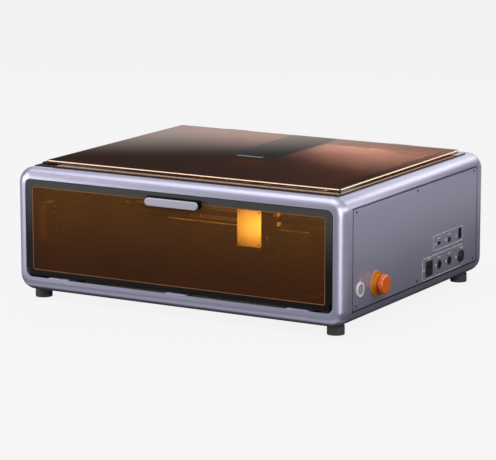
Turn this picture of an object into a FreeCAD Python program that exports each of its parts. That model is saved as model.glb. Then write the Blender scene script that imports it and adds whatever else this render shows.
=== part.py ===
import FreeCAD, Part
import math
import os

from FreeCAD import Vector

# Desktop laser cutter, in millimetres. +Z is up, -Y is the front, +X is the side with the
# power button. The origin is under the middle of the casing, on the plane of the four feet.

# ---------------------------------------------------------------- casing
HALF_W = 283.5
HALF_D = 239.0
CASE_Z0 = 14.0
CASE_Z1 = 205.0
CORNER_R = 25.0
EDGE_R = 16.5
SKIN = 2.5
SEAM = 0.8
FRAME_FRONT_Y = -211.5
FRAME_REAR_Y = 212.0
FLAT_X = HALF_W - CORNER_R
PANEL_Z0 = 34.0
PANEL_Z1 = 187.8
LIP_X = HALF_W - SKIN - 3.5
FLOOR_Z = CASE_Z0 + SKIN
INNER_X = 245.0
INNER_WALL = 1.5
DECK_Z0 = CASE_Z1 - SKIN
DECK_Z1 = CASE_Z1 + 0.5
ACCESS_X = 236.0
ACCESS_Y0 = -196.0
ACCESS_Y1 = 180.0
REAR_OPENING = (258.0, 34.0, 186.0)
SCREW_Y = (-199.0, 0.0, 199.0)
SCREW_Z = (41.5, 180.8)
REAR_SCREW_X = (-240.0, 0.0, 240.0)
REAR_SCREW_Z = (42.5, 177.5)
SCREW_R = 1.5
SCREW_HEAD_R = 2.4
SCREW_HEAD = 1.2
SCREW_LENGTH = 4.4

# ---------------------------------------------------------------- feet
FOOT_X = 255.2
FOOT_Y = 207.9
FOOT_R = 13.0
FOOT_NECK_R = 11.5
FOOT_RIM_Z = 13.2

# ---------------------------------------------------------------- front door
DOOR_OPENING = (266.0, 36.0, 188.5)
DOOR_HALF_W = 264.9
DOOR_Z0 = 37.7
DOOR_Z1 = 187.4
DOOR_FRONT_Y = -238.5
DOOR_THICK = 4.0
WINDOW_HALF_W = 253.5
WINDOW_Z0 = 47.8
WINDOW_Z1 = 177.0
WINDOW_THICK = 3.0
HINGE_BAR_R = 5.0
DOOR_RELIEF_X = 260.4
DOOR_RELIEF_Z = 50.2
DOOR_AXIS_Y = DOOR_FRONT_Y + HINGE_BAR_R
DOOR_AXIS_Z = DOOR_Z0 + HINGE_BAR_R
DOOR_HINGE_X = (-207.5, 1.5, 207.5)
HINGE_TAB_HALF = 17.5
STEM_Y = (-222.4, -220.0)
KNUCKLE_R = 2.6
PIN_R = 1.2
PIN_FIT = 0.05
HANDLE_HALF_W = 45.3
HANDLE_Z0 = 168.7
HANDLE_Z1 = 180.5
HANDLE_FRONT_Y = -250.0
HANDLE_THICK = 4.5
HANDLE_BLOCK_HALF_W = 48.0

# ---------------------------------------------------------------- lid
LID_GAP = 0.3
LID_FRAME_Z0 = DECK_Z1 + LID_GAP
LID_PANEL_Z0 = 207.4
LID_PANEL_Z1 = 211.5
LID_PANEL_HALF_W = 254.4
LID_PANEL_Y0 = -195.2
LID_PANEL_Y1 = 203.9
LID_FRAME_HALF_W = 263.5
LID_FRAME_Y0 = -219.0
LID_FRAME_Y1 = 205.0
LID_CORNER_X = -225.0
STRIP_HALF_W = 42.0
STRIP_Y0 = -18.0
CAMERA_HALF_W = 29.5
CAMERA_Y0 = -21.0
CAMERA_Y1 = 25.0
CAMERA_Z0 = 195.0
LID_AXIS_Y = 211.0
LID_AXIS_Z = 208.4
LID_KNUCKLE_R = 2.4
LID_HINGE_X = (-150.0, 150.0)

# ---------------------------------------------------------------- gantry and laser head
GANTRY_Y = -85.0
BEAM_HALF_W = 222.0
BEAM_HALF_D = 10.0
BEAM_Z0 = 92.0
BEAM_Z1 = 120.0
BEAM_WALL = 2.5
RAIL_CLEAR = 0.5
Y_RAIL_X = 238.0
Y_RAIL_Z = (99.0, 111.0)
X_RAIL_Y = -102.0
X_RAIL_Z = (100.0, 110.0)
X_RAIL_HALF = 215.0
PULLEY_R = 5.7
PULLEY_FLANGE_R = 7.2
BELT_R0 = 6.0
BELT_R1 = 7.2
X_BELT_Y = GANTRY_Y + 33.0
X_BELT_Z = (122.6, 127.6)
X_DRIVE_X = -200.0
X_IDLER_X = 212.0
X_PLATE_Z = BEAM_Z1 + 1.5
Y_BELT_Z = 140.0
Y_BELT_X = (229.6, 234.4)
Y_IDLER_Y = -215.0
Y_SHAFT_Y = 200.0
Y_SHAFT_R = 4.0
MOTOR_SIZE = 42.0
MOTOR_LENGTH = 33.0
HEAD_X = 77.5
HEAD_HALF_W = 20.5
HEAD_FRONT_Y = -150.0
HEAD_COVER_Z = (101.0, 157.0)
HEAD_BODY_Z = (95.0, 160.0)
NOZZLE_Z0 = 68.0

# ---------------------------------------------------------------- work bed
BED_HALF_W = 215.0
BED_Y0 = -185.0
BED_Y1 = 180.0
BED_RIM = 10.0
BED_Z0 = 30.0
BED_Z1 = 44.0
SLAT_PITCH = 16.0
SLAT_COUNT = 22
SLAT_THICK = 2.0

# ---------------------------------------------------------------- exhaust
FAN_X = -27.0
FAN_Z = 76.0
FAN_SIZE = 80.0
FAN_BORE_R = 38.0
FAN_HUB_R = 14.0
FAN_Y = (209.5, 234.5)
GRILLE_X = (-72.0, 18.0)
GRILLE_Z = (19.0, 116.0)
GRILLE_BAR_Z = 51.0
COLLAR_R = 37.5
COLLAR_WALL = 2.0
COLLAR_LENGTH = 21.0
COLLAR_FLANGE_R = 44.0

# ---------------------------------------------------------------- controls on the right side
BUTTON = (-187.3, 65.0)
BUTTON_R = 11.0
ESTOP = (-134.5, 63.8)
ESTOP_DISC_R = 19.3
ESTOP_HEAD_R = 14.8
ROCKER = (41.2, 54.15)
ROCKER_TILT = 6.0
KEY = (152.6, 54.0)
USB_PORT = (75.6, 87.5)
AUDIO_JACK = (111.5, 87.0)
CARD_PORT = (149.9, 90.4)
ROUND_SOCKETS = ((76.8, 6.8), (112.2, 6.5))
SOCKET_Z = 54.0


# ================================================================ helpers
def box(x, y, z):
    """A block given by its (low, high) pair on each axis."""
    size = [pair[1] - pair[0] for pair in (x, y, z)]
    return Part.makeBox(size[0], size[1], size[2], Vector(x[0], y[0], z[0]))


def rounded(shape, radius, axis):
    """Rounds the edges of a block that run along one axis (0, 1 or 2)."""
    edges = []
    for edge in shape.Edges:
        a, b = edge.Vertexes[0].Point, edge.Vertexes[-1].Point
        if abs(abs((b - a)[axis]) - edge.Length) < 1e-6:
            edges.append(edge)
    return shape.makeFillet(radius, edges)


def rod(axis, start, end, centre, radius):
    """A cylinder along one axis from start to end; centre holds its other two coordinates."""
    base = list(centre)
    base.insert(axis, start)
    direction = [0, 0, 0]
    direction[axis] = 1
    return Part.makeCylinder(radius, end - start, Vector(*base), Vector(*direction))


def ring(axis, start, end, centre, radius, bore):
    return rod(axis, start, end, centre, radius).cut(rod(axis, start, end, centre, bore))


def join(shapes):
    shapes = list(shapes)
    return shapes[0].multiFuse(shapes[1:]).removeSplitter() if len(shapes) > 1 else shapes[0]


def group(shapes):
    """Several separate solids in one node."""
    return Part.makeCompound(list(shapes))


def mirrored(shape):
    return shape.mirror(Vector(0, 0, 0), Vector(1, 0, 0))


def both_sides(shape):
    return group([shape, mirrored(shape)])


def in_plane(edge, axis, value):
    return all(abs(vertex.Point[axis] - value) < 1e-6 for vertex in edge.Vertexes)


# ================================================================ casing
def skin_solid(inset):
    """The casing's outside shape, drawn in by inset: rounded along its length and at both ends."""
    half_w, half_d = HALF_W - inset, HALF_D - inset
    body = box((-half_w, half_w), (-half_d, half_d), (CASE_Z0 + inset, CASE_Z1 - inset))
    body = rounded(body, CORNER_R - inset, 1)
    ends = [e for e in body.Edges if in_plane(e, 1, -half_d) or in_plane(e, 1, half_d)]
    return body.makeFillet(EDGE_R - inset, ends)


OUTSIDE = skin_solid(0.0)
INSIDE = skin_solid(SKIN)
SHELL = OUTSIDE.cut(INSIDE)
WIDE = (-400.0, 400.0)


def opening_prism(half_w, z0, z1, radius, y):
    return rounded(box((-half_w, half_w), y, (z0, z1)), radius, 1)


def front_frame():
    """The front surround, with a stop behind the door's sides and top."""
    half_w, z0, z1 = DOOR_OPENING
    frame = SHELL.common(box(WIDE, (-HALF_D, FRAME_FRONT_Y), WIDE))
    frame = frame.cut(opening_prism(half_w, z0, z1, 11.0, (-HALF_D - 1, -HALF_D + 6)))
    spacer_y = (-HALF_D + SKIN, -HALF_D + SKIN + 3.8)
    spacer = opening_prism(half_w + 6, z0 + 15, z1 + 5, 11.0, spacer_y)
    spacer = spacer.cut(opening_prism(half_w + 1, z0 - 20, z1 + 1, 11.0, spacer_y))
    stop_y = (DOOR_FRONT_Y + DOOR_THICK + 0.3, spacer_y[1])
    stop = opening_prism(half_w + 6, z0 + 15, z1 + 5, 11.0, stop_y)
    stop = stop.cut(opening_prism(half_w - 10, z0 - 20, z1 - 8.5, 6.0, stop_y))
    return join([frame, spacer, stop])


def rear_frame():
    """The rear surround, with an inner lip that the rear panel is screwed to."""
    half_w, z0, z1 = REAR_OPENING
    frame = SHELL.common(box(WIDE, (FRAME_REAR_Y, HALF_D), WIDE))
    frame = frame.cut(opening_prism(half_w, z0, z1, 8.0, (HALF_D - 6, HALF_D + 1)))
    lip_y = (HALF_D - SKIN - 2.0, HALF_D - SKIN)
    lip = opening_prism(half_w + 8, z0 - 8, z1 + 8, 14.0, lip_y)
    lip = lip.cut(opening_prism(half_w - 22, z0 + 14, z1 - 14, 6.0, lip_y))
    lip = lip.common(INSIDE)
    return join([frame, lip]).cut(rear_cutters())


def rear_cutters():
    duct = rod(1, FAN_Y[1], HALF_D + 1, (FAN_X, FAN_Z), COLLAR_R - COLLAR_WALL)
    screws = [rear_screw(x, z) for x in REAR_SCREW_X for z in REAR_SCREW_Z]
    return group([duct] + screws)


def rear_screw(x, z):
    head = rod(1, HALF_D - SCREW_HEAD, HALF_D, (x, z), SCREW_HEAD_R)
    return join([head, rod(1, HALF_D - SCREW_LENGTH, HALF_D - SCREW_HEAD, (x, z), SCREW_R)])


def rear_panel():
    half_w, z0, z1 = REAR_OPENING
    panel = opening_prism(half_w - SEAM, z0 + SEAM, z1 - SEAM, 7.2, (HALF_D - SKIN, HALF_D))
    slots = []
    for column in range(12):
        x = 96.0 + column * 11.0
        slots.append(rounded(box((x, x + 4.5), (HALF_D - 4, HALF_D + 1), (60, 116)), 2.2, 1))
    return panel.cut(rear_cutters()).cut(group(slots))


def side_screw(y, z):
    head = rod(0, HALF_W - SCREW_HEAD, HALF_W, (y, z), SCREW_HEAD_R)
    return join([head, rod(0, HALF_W - SCREW_LENGTH, HALF_W - SCREW_HEAD, (y, z), SCREW_R)])


def side_screws():
    return [side_screw(y, z) for y in SCREW_Y for z in SCREW_Z]


def panel_screws():
    right = side_screws()
    rear = [rear_screw(x, z) for x in REAR_SCREW_X for z in REAR_SCREW_Z]
    return group(right + [mirrored(s) for s in right] + rear)


def side_rails():
    """The rounded top and bottom corners of one side, with lips that the side panel lies on."""
    middle = (FRAME_FRONT_Y, FRAME_REAR_Y)
    top = SHELL.common(box((FLAT_X, 400), middle, (PANEL_Z1, 400)))
    bottom = SHELL.common(box((FLAT_X, 400), middle, (0, PANEL_Z0)))
    top_lip = INSIDE.common(box((LIP_X, 400), middle, (PANEL_Z1 - 12, PANEL_Z1 + 4)))
    bottom_lip = INSIDE.common(box((LIP_X, 400), middle, (PANEL_Z0 - 4, PANEL_Z0 + 10)))
    screws = group(side_screws())
    return [join([top, top_lip]).cut(screws), join([bottom, bottom_lip]).cut(screws)]


def side_panel():
    """A flat side panel, shrunk by a seam all round; its top and bottom follow the corners."""
    middle = (FRAME_FRONT_Y + SEAM, FRAME_REAR_Y - SEAM)
    block = rounded(box((LIP_X - 4, 400), middle, (PANEL_Z0 + SEAM, PANEL_Z1 - SEAM)), 4.0, 0)
    return SHELL.common(block).cut(group(side_screws()))


def side_panel_right():
    return side_panel().cut(group(control_bodies()))


def bottom_plate():
    return box((-FLAT_X, FLAT_X), (FRAME_FRONT_Y, FRAME_REAR_Y), (CASE_Z0, FLOOR_Z))


def feet():
    parts = []
    for x in (-FOOT_X, FOOT_X):
        for y in (-FOOT_Y, FOOT_Y):
            pad = rod(2, 0, FOOT_RIM_Z, (x, y), FOOT_R)
            neck = rod(2, FOOT_RIM_Z, FLOOR_Z, (x, y), FOOT_NECK_R)
            parts.append(join([pad, neck]).cut(OUTSIDE))
    return group(parts)


def access_prism(z):
    """The opening under the lid."""
    return rounded(box((-ACCESS_X, ACCESS_X), (ACCESS_Y0, ACCESS_Y1), z), 6.0, 2)


def top_deck():
    inner = box((-FLAT_X, FLAT_X), (FRAME_FRONT_Y, FRAME_REAR_Y), (DECK_Z0, CASE_Z1))
    outer = box((-LID_FRAME_HALF_W, LID_FRAME_HALF_W), (LID_FRAME_Y0, FRAME_REAR_Y), (CASE_Z1, DECK_Z1))
    deck = join([inner, rounded(outer, 4.0, 2)])
    return deck.cut(access_prism((DECK_Z0 - 1, DECK_Z1 + 1)))


def inner_wall():
    wall = box((INNER_X, INNER_X + INNER_WALL), (FRAME_FRONT_Y + 0.5, FRAME_REAR_Y - 1), (FLOOR_Z, DECK_Z0))
    shaft = (Y_SHAFT_Y, Y_BELT_Z)
    return wall.cut(rod(0, INNER_X - 1, INNER_X + 5, shaft, Y_SHAFT_R + 0.3))


def led_strip():
    return box((-200, 200), (-209, -200), (DECK_Z0 - 3, DECK_Z0))


# ================================================================ work bed
def bed_frame():
    outer = rounded(box((-BED_HALF_W, BED_HALF_W), (BED_Y0, BED_Y1), (BED_Z0, BED_Z1)), 6.0, 2)
    inner_x = BED_HALF_W - BED_RIM
    inner = box((-inner_x, inner_x), (BED_Y0 + BED_RIM, BED_Y1 - BED_RIM), (BED_Z0 - 1, BED_Z1 + 1))
    legs = []
    for x in (-BED_HALF_W + 8, BED_HALF_W - 8):
        for y in (BED_Y0 + 8, BED_Y1 - 8):
            legs.append(rod(2, FLOOR_Z, BED_Z0 + 1, (x, y), 6.0))
    return join([outer.cut(inner)] + legs)


def bed_slats():
    half = BED_HALF_W - BED_RIM
    middle = (BED_Y0 + BED_Y1) / 2
    first = middle - SLAT_PITCH * (SLAT_COUNT - 1) / 2
    slats = []
    for number in range(SLAT_COUNT):
        y = first + number * SLAT_PITCH
        slats.append(box((-half, half), (y - SLAT_THICK / 2, y + SLAT_THICK / 2), (BED_Z0 + 2, BED_Z1 + 0.5)))
    return group(slats)


# ================================================================ front door
def door_outline(y):
    return opening_prism(DOOR_HALF_W, DOOR_Z0, DOOR_Z1, 10.0, y)


def window_prism(y):
    return opening_prism(WINDOW_HALF_W, WINDOW_Z0, WINDOW_Z1, 2.0, y)


def hinge_pin(x, z_axis, y_axis, half):
    return rod(0, x - half, x + half, (y_axis, z_axis), PIN_R)


def door_frame():
    """The dark surround: a flat ring whose bottom rail is a thick bar, round about the hinge axis.

    The rail's ends are cut back, so that they swing clear of the opening's round corners."""
    front, back = DOOR_FRONT_Y, DOOR_FRONT_Y + DOOR_THICK
    axis = (DOOR_AXIS_Y, DOOR_AXIS_Z)
    plate = door_outline((front, back)).common(box(WIDE, WIDE, (DOOR_AXIS_Z, 400)))
    bar = rod(0, -DOOR_HALF_W, DOOR_HALF_W, axis, HINGE_BAR_R)
    bar_y = (front, front + 2 * HINGE_BAR_R)
    bar_top = box((-DOOR_HALF_W, DOOR_HALF_W), bar_y, (DOOR_AXIS_Z, WINDOW_Z0))
    bar = join([bar, bar_top]).common(door_outline(bar_y))
    door = join([plate, bar]).cut(window_prism((front - 1, back)))
    relief = box((DOOR_RELIEF_X, 400), WIDE, (0, DOOR_RELIEF_Z))
    cuts = [relief, mirrored(relief)]
    for x in DOOR_HINGE_X:
        half = HINGE_TAB_HALF + 0.7
        notch_y = (DOOR_AXIS_Y - KNUCKLE_R - 0.3, front + 2 * HINGE_BAR_R + 1)
        cuts.append(box((x - half, x + half), notch_y, (DOOR_Z0 - 1, WINDOW_Z0 - 0.8)))
        cuts.append(rod(0, x - half - 7, x + half + 7, axis, PIN_R + PIN_FIT))
    return door.cut(group(cuts))


def door_window():
    return window_prism((DOOR_FRONT_Y, DOOR_FRONT_Y + WINDOW_THICK))


def door_handle():
    bar_y = (HANDLE_FRONT_Y, HANDLE_FRONT_Y + HANDLE_THICK)
    bar = opening_prism(HANDLE_HALF_W, HANDLE_Z0, HANDLE_Z1, 5.8, bar_y)
    rim = [e for e in bar.Edges if in_plane(e, 1, HANDLE_FRONT_Y)]
    return bar.makeFillet(1.2, rim)


def handle_block():
    block_y = (HANDLE_FRONT_Y + HANDLE_THICK, DOOR_FRONT_Y)
    return opening_prism(HANDLE_BLOCK_HALF_W, HANDLE_Z0 + 0.6, HANDLE_Z1 + 0.2, 5.5, block_y)


def door_hinge_brackets():
    """Three tabs on the opening's lower edge, each with a knuckle held from behind the door."""
    axis = (DOOR_AXIS_Y, DOOR_AXIS_Z)
    parts = []
    for x in DOOR_HINGE_X:
        wide = (x - HINGE_TAB_HALF, x + HINGE_TAB_HALF)
        knuckle = rod(0, wide[0], wide[1], axis, KNUCKLE_R)
        web = box(wide, (DOOR_AXIS_Y, STEM_Y[1]), (DOOR_AXIS_Z - 1.3, DOOR_AXIS_Z + 1.3))
        stem = box(wide, STEM_Y, (FLOOR_Z, DOOR_AXIS_Z + 1.3))
        tab = box(wide, (-HALF_D + 0.3, STEM_Y[1]), (DOOR_OPENING[1], DOOR_Z0 - 0.4))
        foot = box(wide, (STEM_Y[1], FRAME_FRONT_Y), (FLOOR_Z, FLOOR_Z + 2))
        bracket = join([knuckle, web, stem, tab, foot]).cut(hinge_pin(x, axis[1], axis[0], 30))
        parts.append(bracket)
    return group(parts)


# ================================================================ lid
def lid_panel():
    wide = (-LID_PANEL_HALF_W, LID_PANEL_HALF_W)
    sheet = box(wide, (LID_PANEL_Y0, LID_PANEL_Y1), (LID_PANEL_Z0, LID_PANEL_Z1))
    sheet = rounded(sheet, 2.0, 2)
    rim = [e for e in sheet.Edges if in_plane(e, 2, LID_PANEL_Z1)]
    return sheet.makeFillet(0.6, rim)


def lid_frame():
    """The lower layer: a flat ring, cut back at one front corner, behind the sides and for the strip."""
    layer = (LID_FRAME_Z0, LID_PANEL_Z0)
    wide = (-LID_FRAME_HALF_W, LID_FRAME_HALF_W)
    frame = rounded(box(wide, (LID_FRAME_Y0, LID_FRAME_Y1), layer), 3.0, 2)
    frame = frame.cut(access_prism((0, 400)))
    corner = box((-400, LID_CORNER_X), (-400, LID_PANEL_Y0), (0, 400))
    notch = box((LID_PANEL_HALF_W - 6, 400), (ACCESS_Y1 - 8, 400), (0, 400))
    slot = box((-STRIP_HALF_W, STRIP_HALF_W), (ACCESS_Y1 - 10, 400), (0, 400))
    return frame.cut(group([corner, notch, mirrored(notch), slot]))


def lid_strip():
    wide = (-STRIP_HALF_W, STRIP_HALF_W)
    return box(wide, (STRIP_Y0, LID_PANEL_Y1), (LID_FRAME_Z0, LID_PANEL_Z0))


def camera_housing():
    wide = (-CAMERA_HALF_W, CAMERA_HALF_W)
    cover = box(wide, (CAMERA_Y0, STRIP_Y0), (CAMERA_Z0, LID_PANEL_Z0))
    body = box(wide, (STRIP_Y0, CAMERA_Y1), (CAMERA_Z0, LID_FRAME_Z0))
    eye = rod(2, CAMERA_Z0 - 1, CAMERA_Z0 + 3, (0, 2.0), 6.0)
    return join([cover, body]).cut(eye)


def lid_hinge_leaves():
    """The lid's knuckles, with a block beside each rear corner."""
    axis = (LID_AXIS_Y, LID_AXIS_Z)
    parts = []
    for x in LID_HINGE_X:
        wide = (x - 10, x + 10)
        knuckle = rod(0, wide[0], wide[1], axis, LID_KNUCKLE_R)
        leaf = box(wide, (LID_FRAME_Y1, LID_AXIS_Y), (DECK_Z1 + 0.4, LID_AXIS_Z - 0.4))
        bore = rod(0, wide[0] - 1, wide[1] + 1, axis, PIN_R + PIN_FIT)
        parts.append(join([knuckle, leaf]).cut(bore))
    block_x = (LID_PANEL_HALF_W - 6, LID_FRAME_HALF_W)
    block = box(block_x, (ACCESS_Y1 - 4, LID_FRAME_Y1), (LID_FRAME_Z0, LID_PANEL_Z0))
    return group(parts + [block, mirrored(block)])


def lid_hinge_bases():
    axis = (LID_AXIS_Y, LID_AXIS_Z)
    parts = []
    for x in LID_HINGE_X:
        for side in (-1, 1):
            ends = sorted((x + side * 10.4, x + side * 18))
            knuckle = rod(0, ends[0], ends[1], axis, LID_KNUCKLE_R)
            foot = box(ends, (LID_AXIS_Y - LID_KNUCKLE_R, LID_AXIS_Y + LID_KNUCKLE_R), (DECK_Z1, LID_AXIS_Z))
            parts.append(join([knuckle, foot]).cut(hinge_pin(x, axis[1], axis[0], 30)))
    return group(parts)


def hinge_pins():
    door = [hinge_pin(x, DOOR_AXIS_Z, DOOR_AXIS_Y, HINGE_TAB_HALF + 6) for x in DOOR_HINGE_X]
    lid = [hinge_pin(x, LID_AXIS_Z, LID_AXIS_Y, 18) for x in LID_HINGE_X]
    return group(door + lid)


# ================================================================ gantry
def y_rails():
    rail = box((Y_RAIL_X, INNER_X), (-193, 205), Y_RAIL_Z)
    return both_sides(rail)


def gantry_carriages():
    """The two end blocks: each wraps its rail and holds the lower run of its belt."""
    along = (GANTRY_Y - 30, GANTRY_Y + 30)
    inner = Y_RAIL_X - RAIL_CLEAR
    body = rounded(box((BEAM_HALF_W, inner), along, (88, 128)), 3.0, 0)
    upper = box((inner, Y_RAIL_X + 4), along, (Y_RAIL_Z[1] + RAIL_CLEAR, Y_RAIL_Z[1] + 5))
    lower = box((inner, Y_RAIL_X + 4), along, (Y_RAIL_Z[0] - 5, Y_RAIL_Z[0] - RAIL_CLEAR))
    run = (Y_BELT_Z - BELT_R1 - 0.5, Y_BELT_Z - BELT_R0 + 0.5)
    grip = (GANTRY_Y - 8, GANTRY_Y + 8)
    post = box((224, Y_BELT_X[0] - 0.6), grip, (128, run[1] + 3))
    jaw_low = box((224, 236), grip, (128, run[0]))
    jaw_high = box((224, 236), grip, (run[1], run[1] + 3))
    return both_sides(join([body, upper, lower, post, jaw_low, jaw_high]))


def gantry_beam():
    """A square tube with a plate at each end for the belt's pulleys and motor."""
    deep = (GANTRY_Y - BEAM_HALF_D, GANTRY_Y + BEAM_HALF_D)
    tube = box((-BEAM_HALF_W, BEAM_HALF_W), deep, (BEAM_Z0, BEAM_Z1))
    core = box(WIDE, (deep[0] + BEAM_WALL, deep[1] - BEAM_WALL), (BEAM_Z0 + BEAM_WALL, BEAM_Z1 - BEAM_WALL))
    plate_y = (deep[0], X_BELT_Y + MOTOR_SIZE / 2)
    motor_plate = box((X_DRIVE_X - 21, X_DRIVE_X + 21), plate_y, (BEAM_Z1, X_PLATE_Z))
    idler_plate = box((X_IDLER_X - 12, BEAM_HALF_W), plate_y, (BEAM_Z1, X_PLATE_Z))
    pin = rod(2, X_PLATE_Z, 130, (X_IDLER_X, X_BELT_Y), 2.5)
    shaft = rod(2, BEAM_Z1 - 1, 125, (X_DRIVE_X, X_BELT_Y), 3.0)
    return join([tube.cut(core), motor_plate, idler_plate, pin]).cut(shaft)


def x_rail():
    return box((-X_RAIL_HALF, X_RAIL_HALF), (X_RAIL_Y, GANTRY_Y - BEAM_HALF_D), X_RAIL_Z)


def motor(length):
    """A square stepper motor standing on its back, its face at the origin and its bore along Z."""
    half = MOTOR_SIZE / 2
    body = box((-half, half), (-half, half), (-length, 0))
    return rounded(body, 4.0, 2).cut(rod(2, -16, 1, (0, 0), 3.0))


def x_motor():
    body = motor(MOTOR_LENGTH)
    body.translate(Vector(X_DRIVE_X, X_BELT_Y, BEAM_Z1))
    return body


def y_motor():
    """The drive motor stands beside the chamber, round one end of the cross shaft."""
    half = MOTOR_SIZE / 2
    start = INNER_X + INNER_WALL
    body = box((start, start + MOTOR_LENGTH), (Y_SHAFT_Y - half, Y_SHAFT_Y + half), (Y_BELT_Z - half, Y_BELT_Z + half))
    bore = rod(0, start - 1, start + 18, (Y_SHAFT_Y, Y_BELT_Z), Y_SHAFT_R + 0.3)
    return rounded(body, 4.0, 0).cut(bore)


def loop(length, radius, height):
    """A flat stadium from the origin along +X, as thick as height, with round ends."""
    straight = box((0, length), (-radius, radius), (0, height))
    return join([straight, rod(2, 0, height, (0, 0), radius), rod(2, 0, height, (length, 0), radius)])


def x_belt():
    height = X_BELT_Z[1] - X_BELT_Z[0]
    length = X_IDLER_X - X_DRIVE_X
    belt = loop(length, BELT_R1, height).cut(loop(length, BELT_R0, height))
    belt.translate(Vector(X_DRIVE_X, X_BELT_Y, X_BELT_Z[0]))
    return belt


def y_belts():
    height = Y_BELT_X[1] - Y_BELT_X[0]
    length = Y_SHAFT_Y - Y_IDLER_Y
    belt = loop(length, BELT_R1, height).cut(loop(length, BELT_R0, height))
    upright = FreeCAD.Matrix(0, 0, 1, Y_BELT_X[0], 1, 0, 0, Y_IDLER_Y, 0, 1, 0, Y_BELT_Z, 0, 0, 0, 1)
    return both_sides(belt.transformGeometry(upright))


def pulley(axis, start, end, centre, bore):
    """A flanged pulley between start and end along an axis; a bore of 0 leaves it solid."""
    flange = 0.5
    wheel = join([
        rod(axis, start, end, centre, PULLEY_R),
        rod(axis, start, start + flange, centre, PULLEY_FLANGE_R),
        rod(axis, end - flange, end, centre, PULLEY_FLANGE_R),
    ])
    return wheel.cut(rod(axis, start - 1, end + 1, centre, bore)) if bore else wheel


def x_pulley_span():
    return X_BELT_Z[0] - 0.8, X_BELT_Z[1] + 0.8


def x_drive_pulley():
    low, high = x_pulley_span()
    centre = (X_DRIVE_X, X_BELT_Y)
    return join([pulley(2, low, high, centre, 0), rod(2, low - 12, high + 1.5, centre, 2.5)])


def x_idler_pulley():
    low, high = x_pulley_span()
    return pulley(2, low, high, (X_IDLER_X, X_BELT_Y), 2.5 + PIN_FIT)


def y_pulley_span():
    return Y_BELT_X[0] - 0.8, Y_BELT_X[1] + 0.8


def y_drive_shaft():
    """The cross shaft, with a pulley near each end and its right end in the motor."""
    low, high = y_pulley_span()
    centre = (Y_SHAFT_Y, Y_BELT_Z)
    wheel = pulley(0, low, high, centre, 0)
    shaft = rod(0, -INNER_X - 4, INNER_X + 16, centre, Y_SHAFT_R)
    return join([shaft, wheel, mirrored(wheel)])


def y_idler_pulleys():
    low, high = y_pulley_span()
    return both_sides(pulley(0, low, high, (Y_IDLER_Y, Y_BELT_Z), 3.0 + PIN_FIT))


def idler_brackets():
    """The belt tensioner plates at the front corners of the chamber, each with its pulley's pin."""
    front = box((222, INNER_X + 5), (-228, -225.5), (92, 151))
    side = box((INNER_X - 2.5, INNER_X), (-225.5, -196), (92, 151))
    pin = rod(0, Y_BELT_X[0] - 2, INNER_X - 2, (Y_IDLER_Y, Y_BELT_Z), 3.0)
    return both_sides(join([front, side, pin]))


# ================================================================ laser head
def head_carriage():
    """The head's back plate: it wraps the rail, and an arm over the beam holds the belt."""
    plate_y = (X_RAIL_Y - 10, X_RAIL_Y - 4)
    plate = box((HEAD_X - 22, HEAD_X + 22), plate_y, (84, 134))
    block = box((HEAD_X - 20, HEAD_X + 20), (plate_y[1], GANTRY_Y - BEAM_HALF_D - 1), (96, 114))
    groove = box(WIDE, (X_RAIL_Y - RAIL_CLEAR, 0), (X_RAIL_Z[0] - RAIL_CLEAR, X_RAIL_Z[1] + RAIL_CLEAR))
    grip = (HEAD_X + 7, HEAD_X + 13)
    run = (X_BELT_Y - BELT_R1 - 0.5, X_BELT_Y - BELT_R0 + 0.5)
    arm = box(grip, (plate_y[0], run[1] + 2.2), (131, 134))
    jaw_front = box(grip, (run[0] - 2.3, run[0]), (X_PLATE_Z + 0.7, 131))
    jaw_back = box(grip, (run[1], run[1] + 2.2), (X_PLATE_Z + 0.7, 131))
    return join([plate, block.cut(groove), arm, jaw_front, jaw_back])


def laser_module():
    """The finned laser block, with a round well for its fan on top."""
    depth = (HEAD_FRONT_Y + 1.5, X_RAIL_Y - 10)
    body = box((HEAD_X - 20, HEAD_X + 20), depth, HEAD_BODY_Z)
    fins = []
    for number in range(9):
        y = depth[0] + 4 + number * 3.4
        for side in (-1, 1):
            x = sorted((HEAD_X + side * 16, HEAD_X + side * 21))
            fins.append(box(x, (y, y + 1.6), (HEAD_BODY_Z[0] + 8, HEAD_BODY_Z[1] - 12)))
    middle = (HEAD_X, (depth[0] + depth[1]) / 2)
    well = ring(2, HEAD_BODY_Z[1] - 8, HEAD_BODY_Z[1] + 1, middle, 17.0, 2.5)
    beam_path = rod(2, HEAD_BODY_Z[0] - 1, HEAD_BODY_Z[0] + 20, middle, 3.0)
    return body.cut(group(fins)).cut(well).cut(beam_path)


def head_cover():
    wide = (HEAD_X - HEAD_HALF_W, HEAD_X + HEAD_HALF_W)
    return rounded(box(wide, (HEAD_FRONT_Y, HEAD_FRONT_Y + 1.5), HEAD_COVER_Z), 2.0, 1)


def head_centre():
    return HEAD_X, (HEAD_FRONT_Y + 1.5 + X_RAIL_Y - 10) / 2


def nozzle():
    x, y = head_centre()
    barrel = rod(2, 82, HEAD_BODY_Z[0], (x, y), 11.0)
    tip = Part.makeCone(5.0, 11.0, 82 - NOZZLE_Z0, Vector(x, y, NOZZLE_Z0))
    return join([barrel, tip]).cut(rod(2, NOZZLE_Z0 - 1, HEAD_BODY_Z[0] + 1, (x, y), 3.0))


def blades(count, hub_r, tip_r, height, sweep):
    """Straight fan blades round the Z axis, from z = 0 to height, each leaned by sweep degrees."""
    parts = []
    for number in range(count):
        blade = box((hub_r - 1, tip_r), (-0.7, 0.7), (-height / 2, height / 2))
        blade.rotate(Vector(0, 0, 0), Vector(1, 0, 0), sweep)
        blade.rotate(Vector(0, 0, 0), Vector(0, 0, 1), number * 360.0 / count)
        blade.translate(Vector(0, 0, height / 2))
        parts.append(blade)
    limit = rod(2, 0, height, (0, 0), tip_r)
    return [blade.common(limit) for blade in parts]


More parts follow.
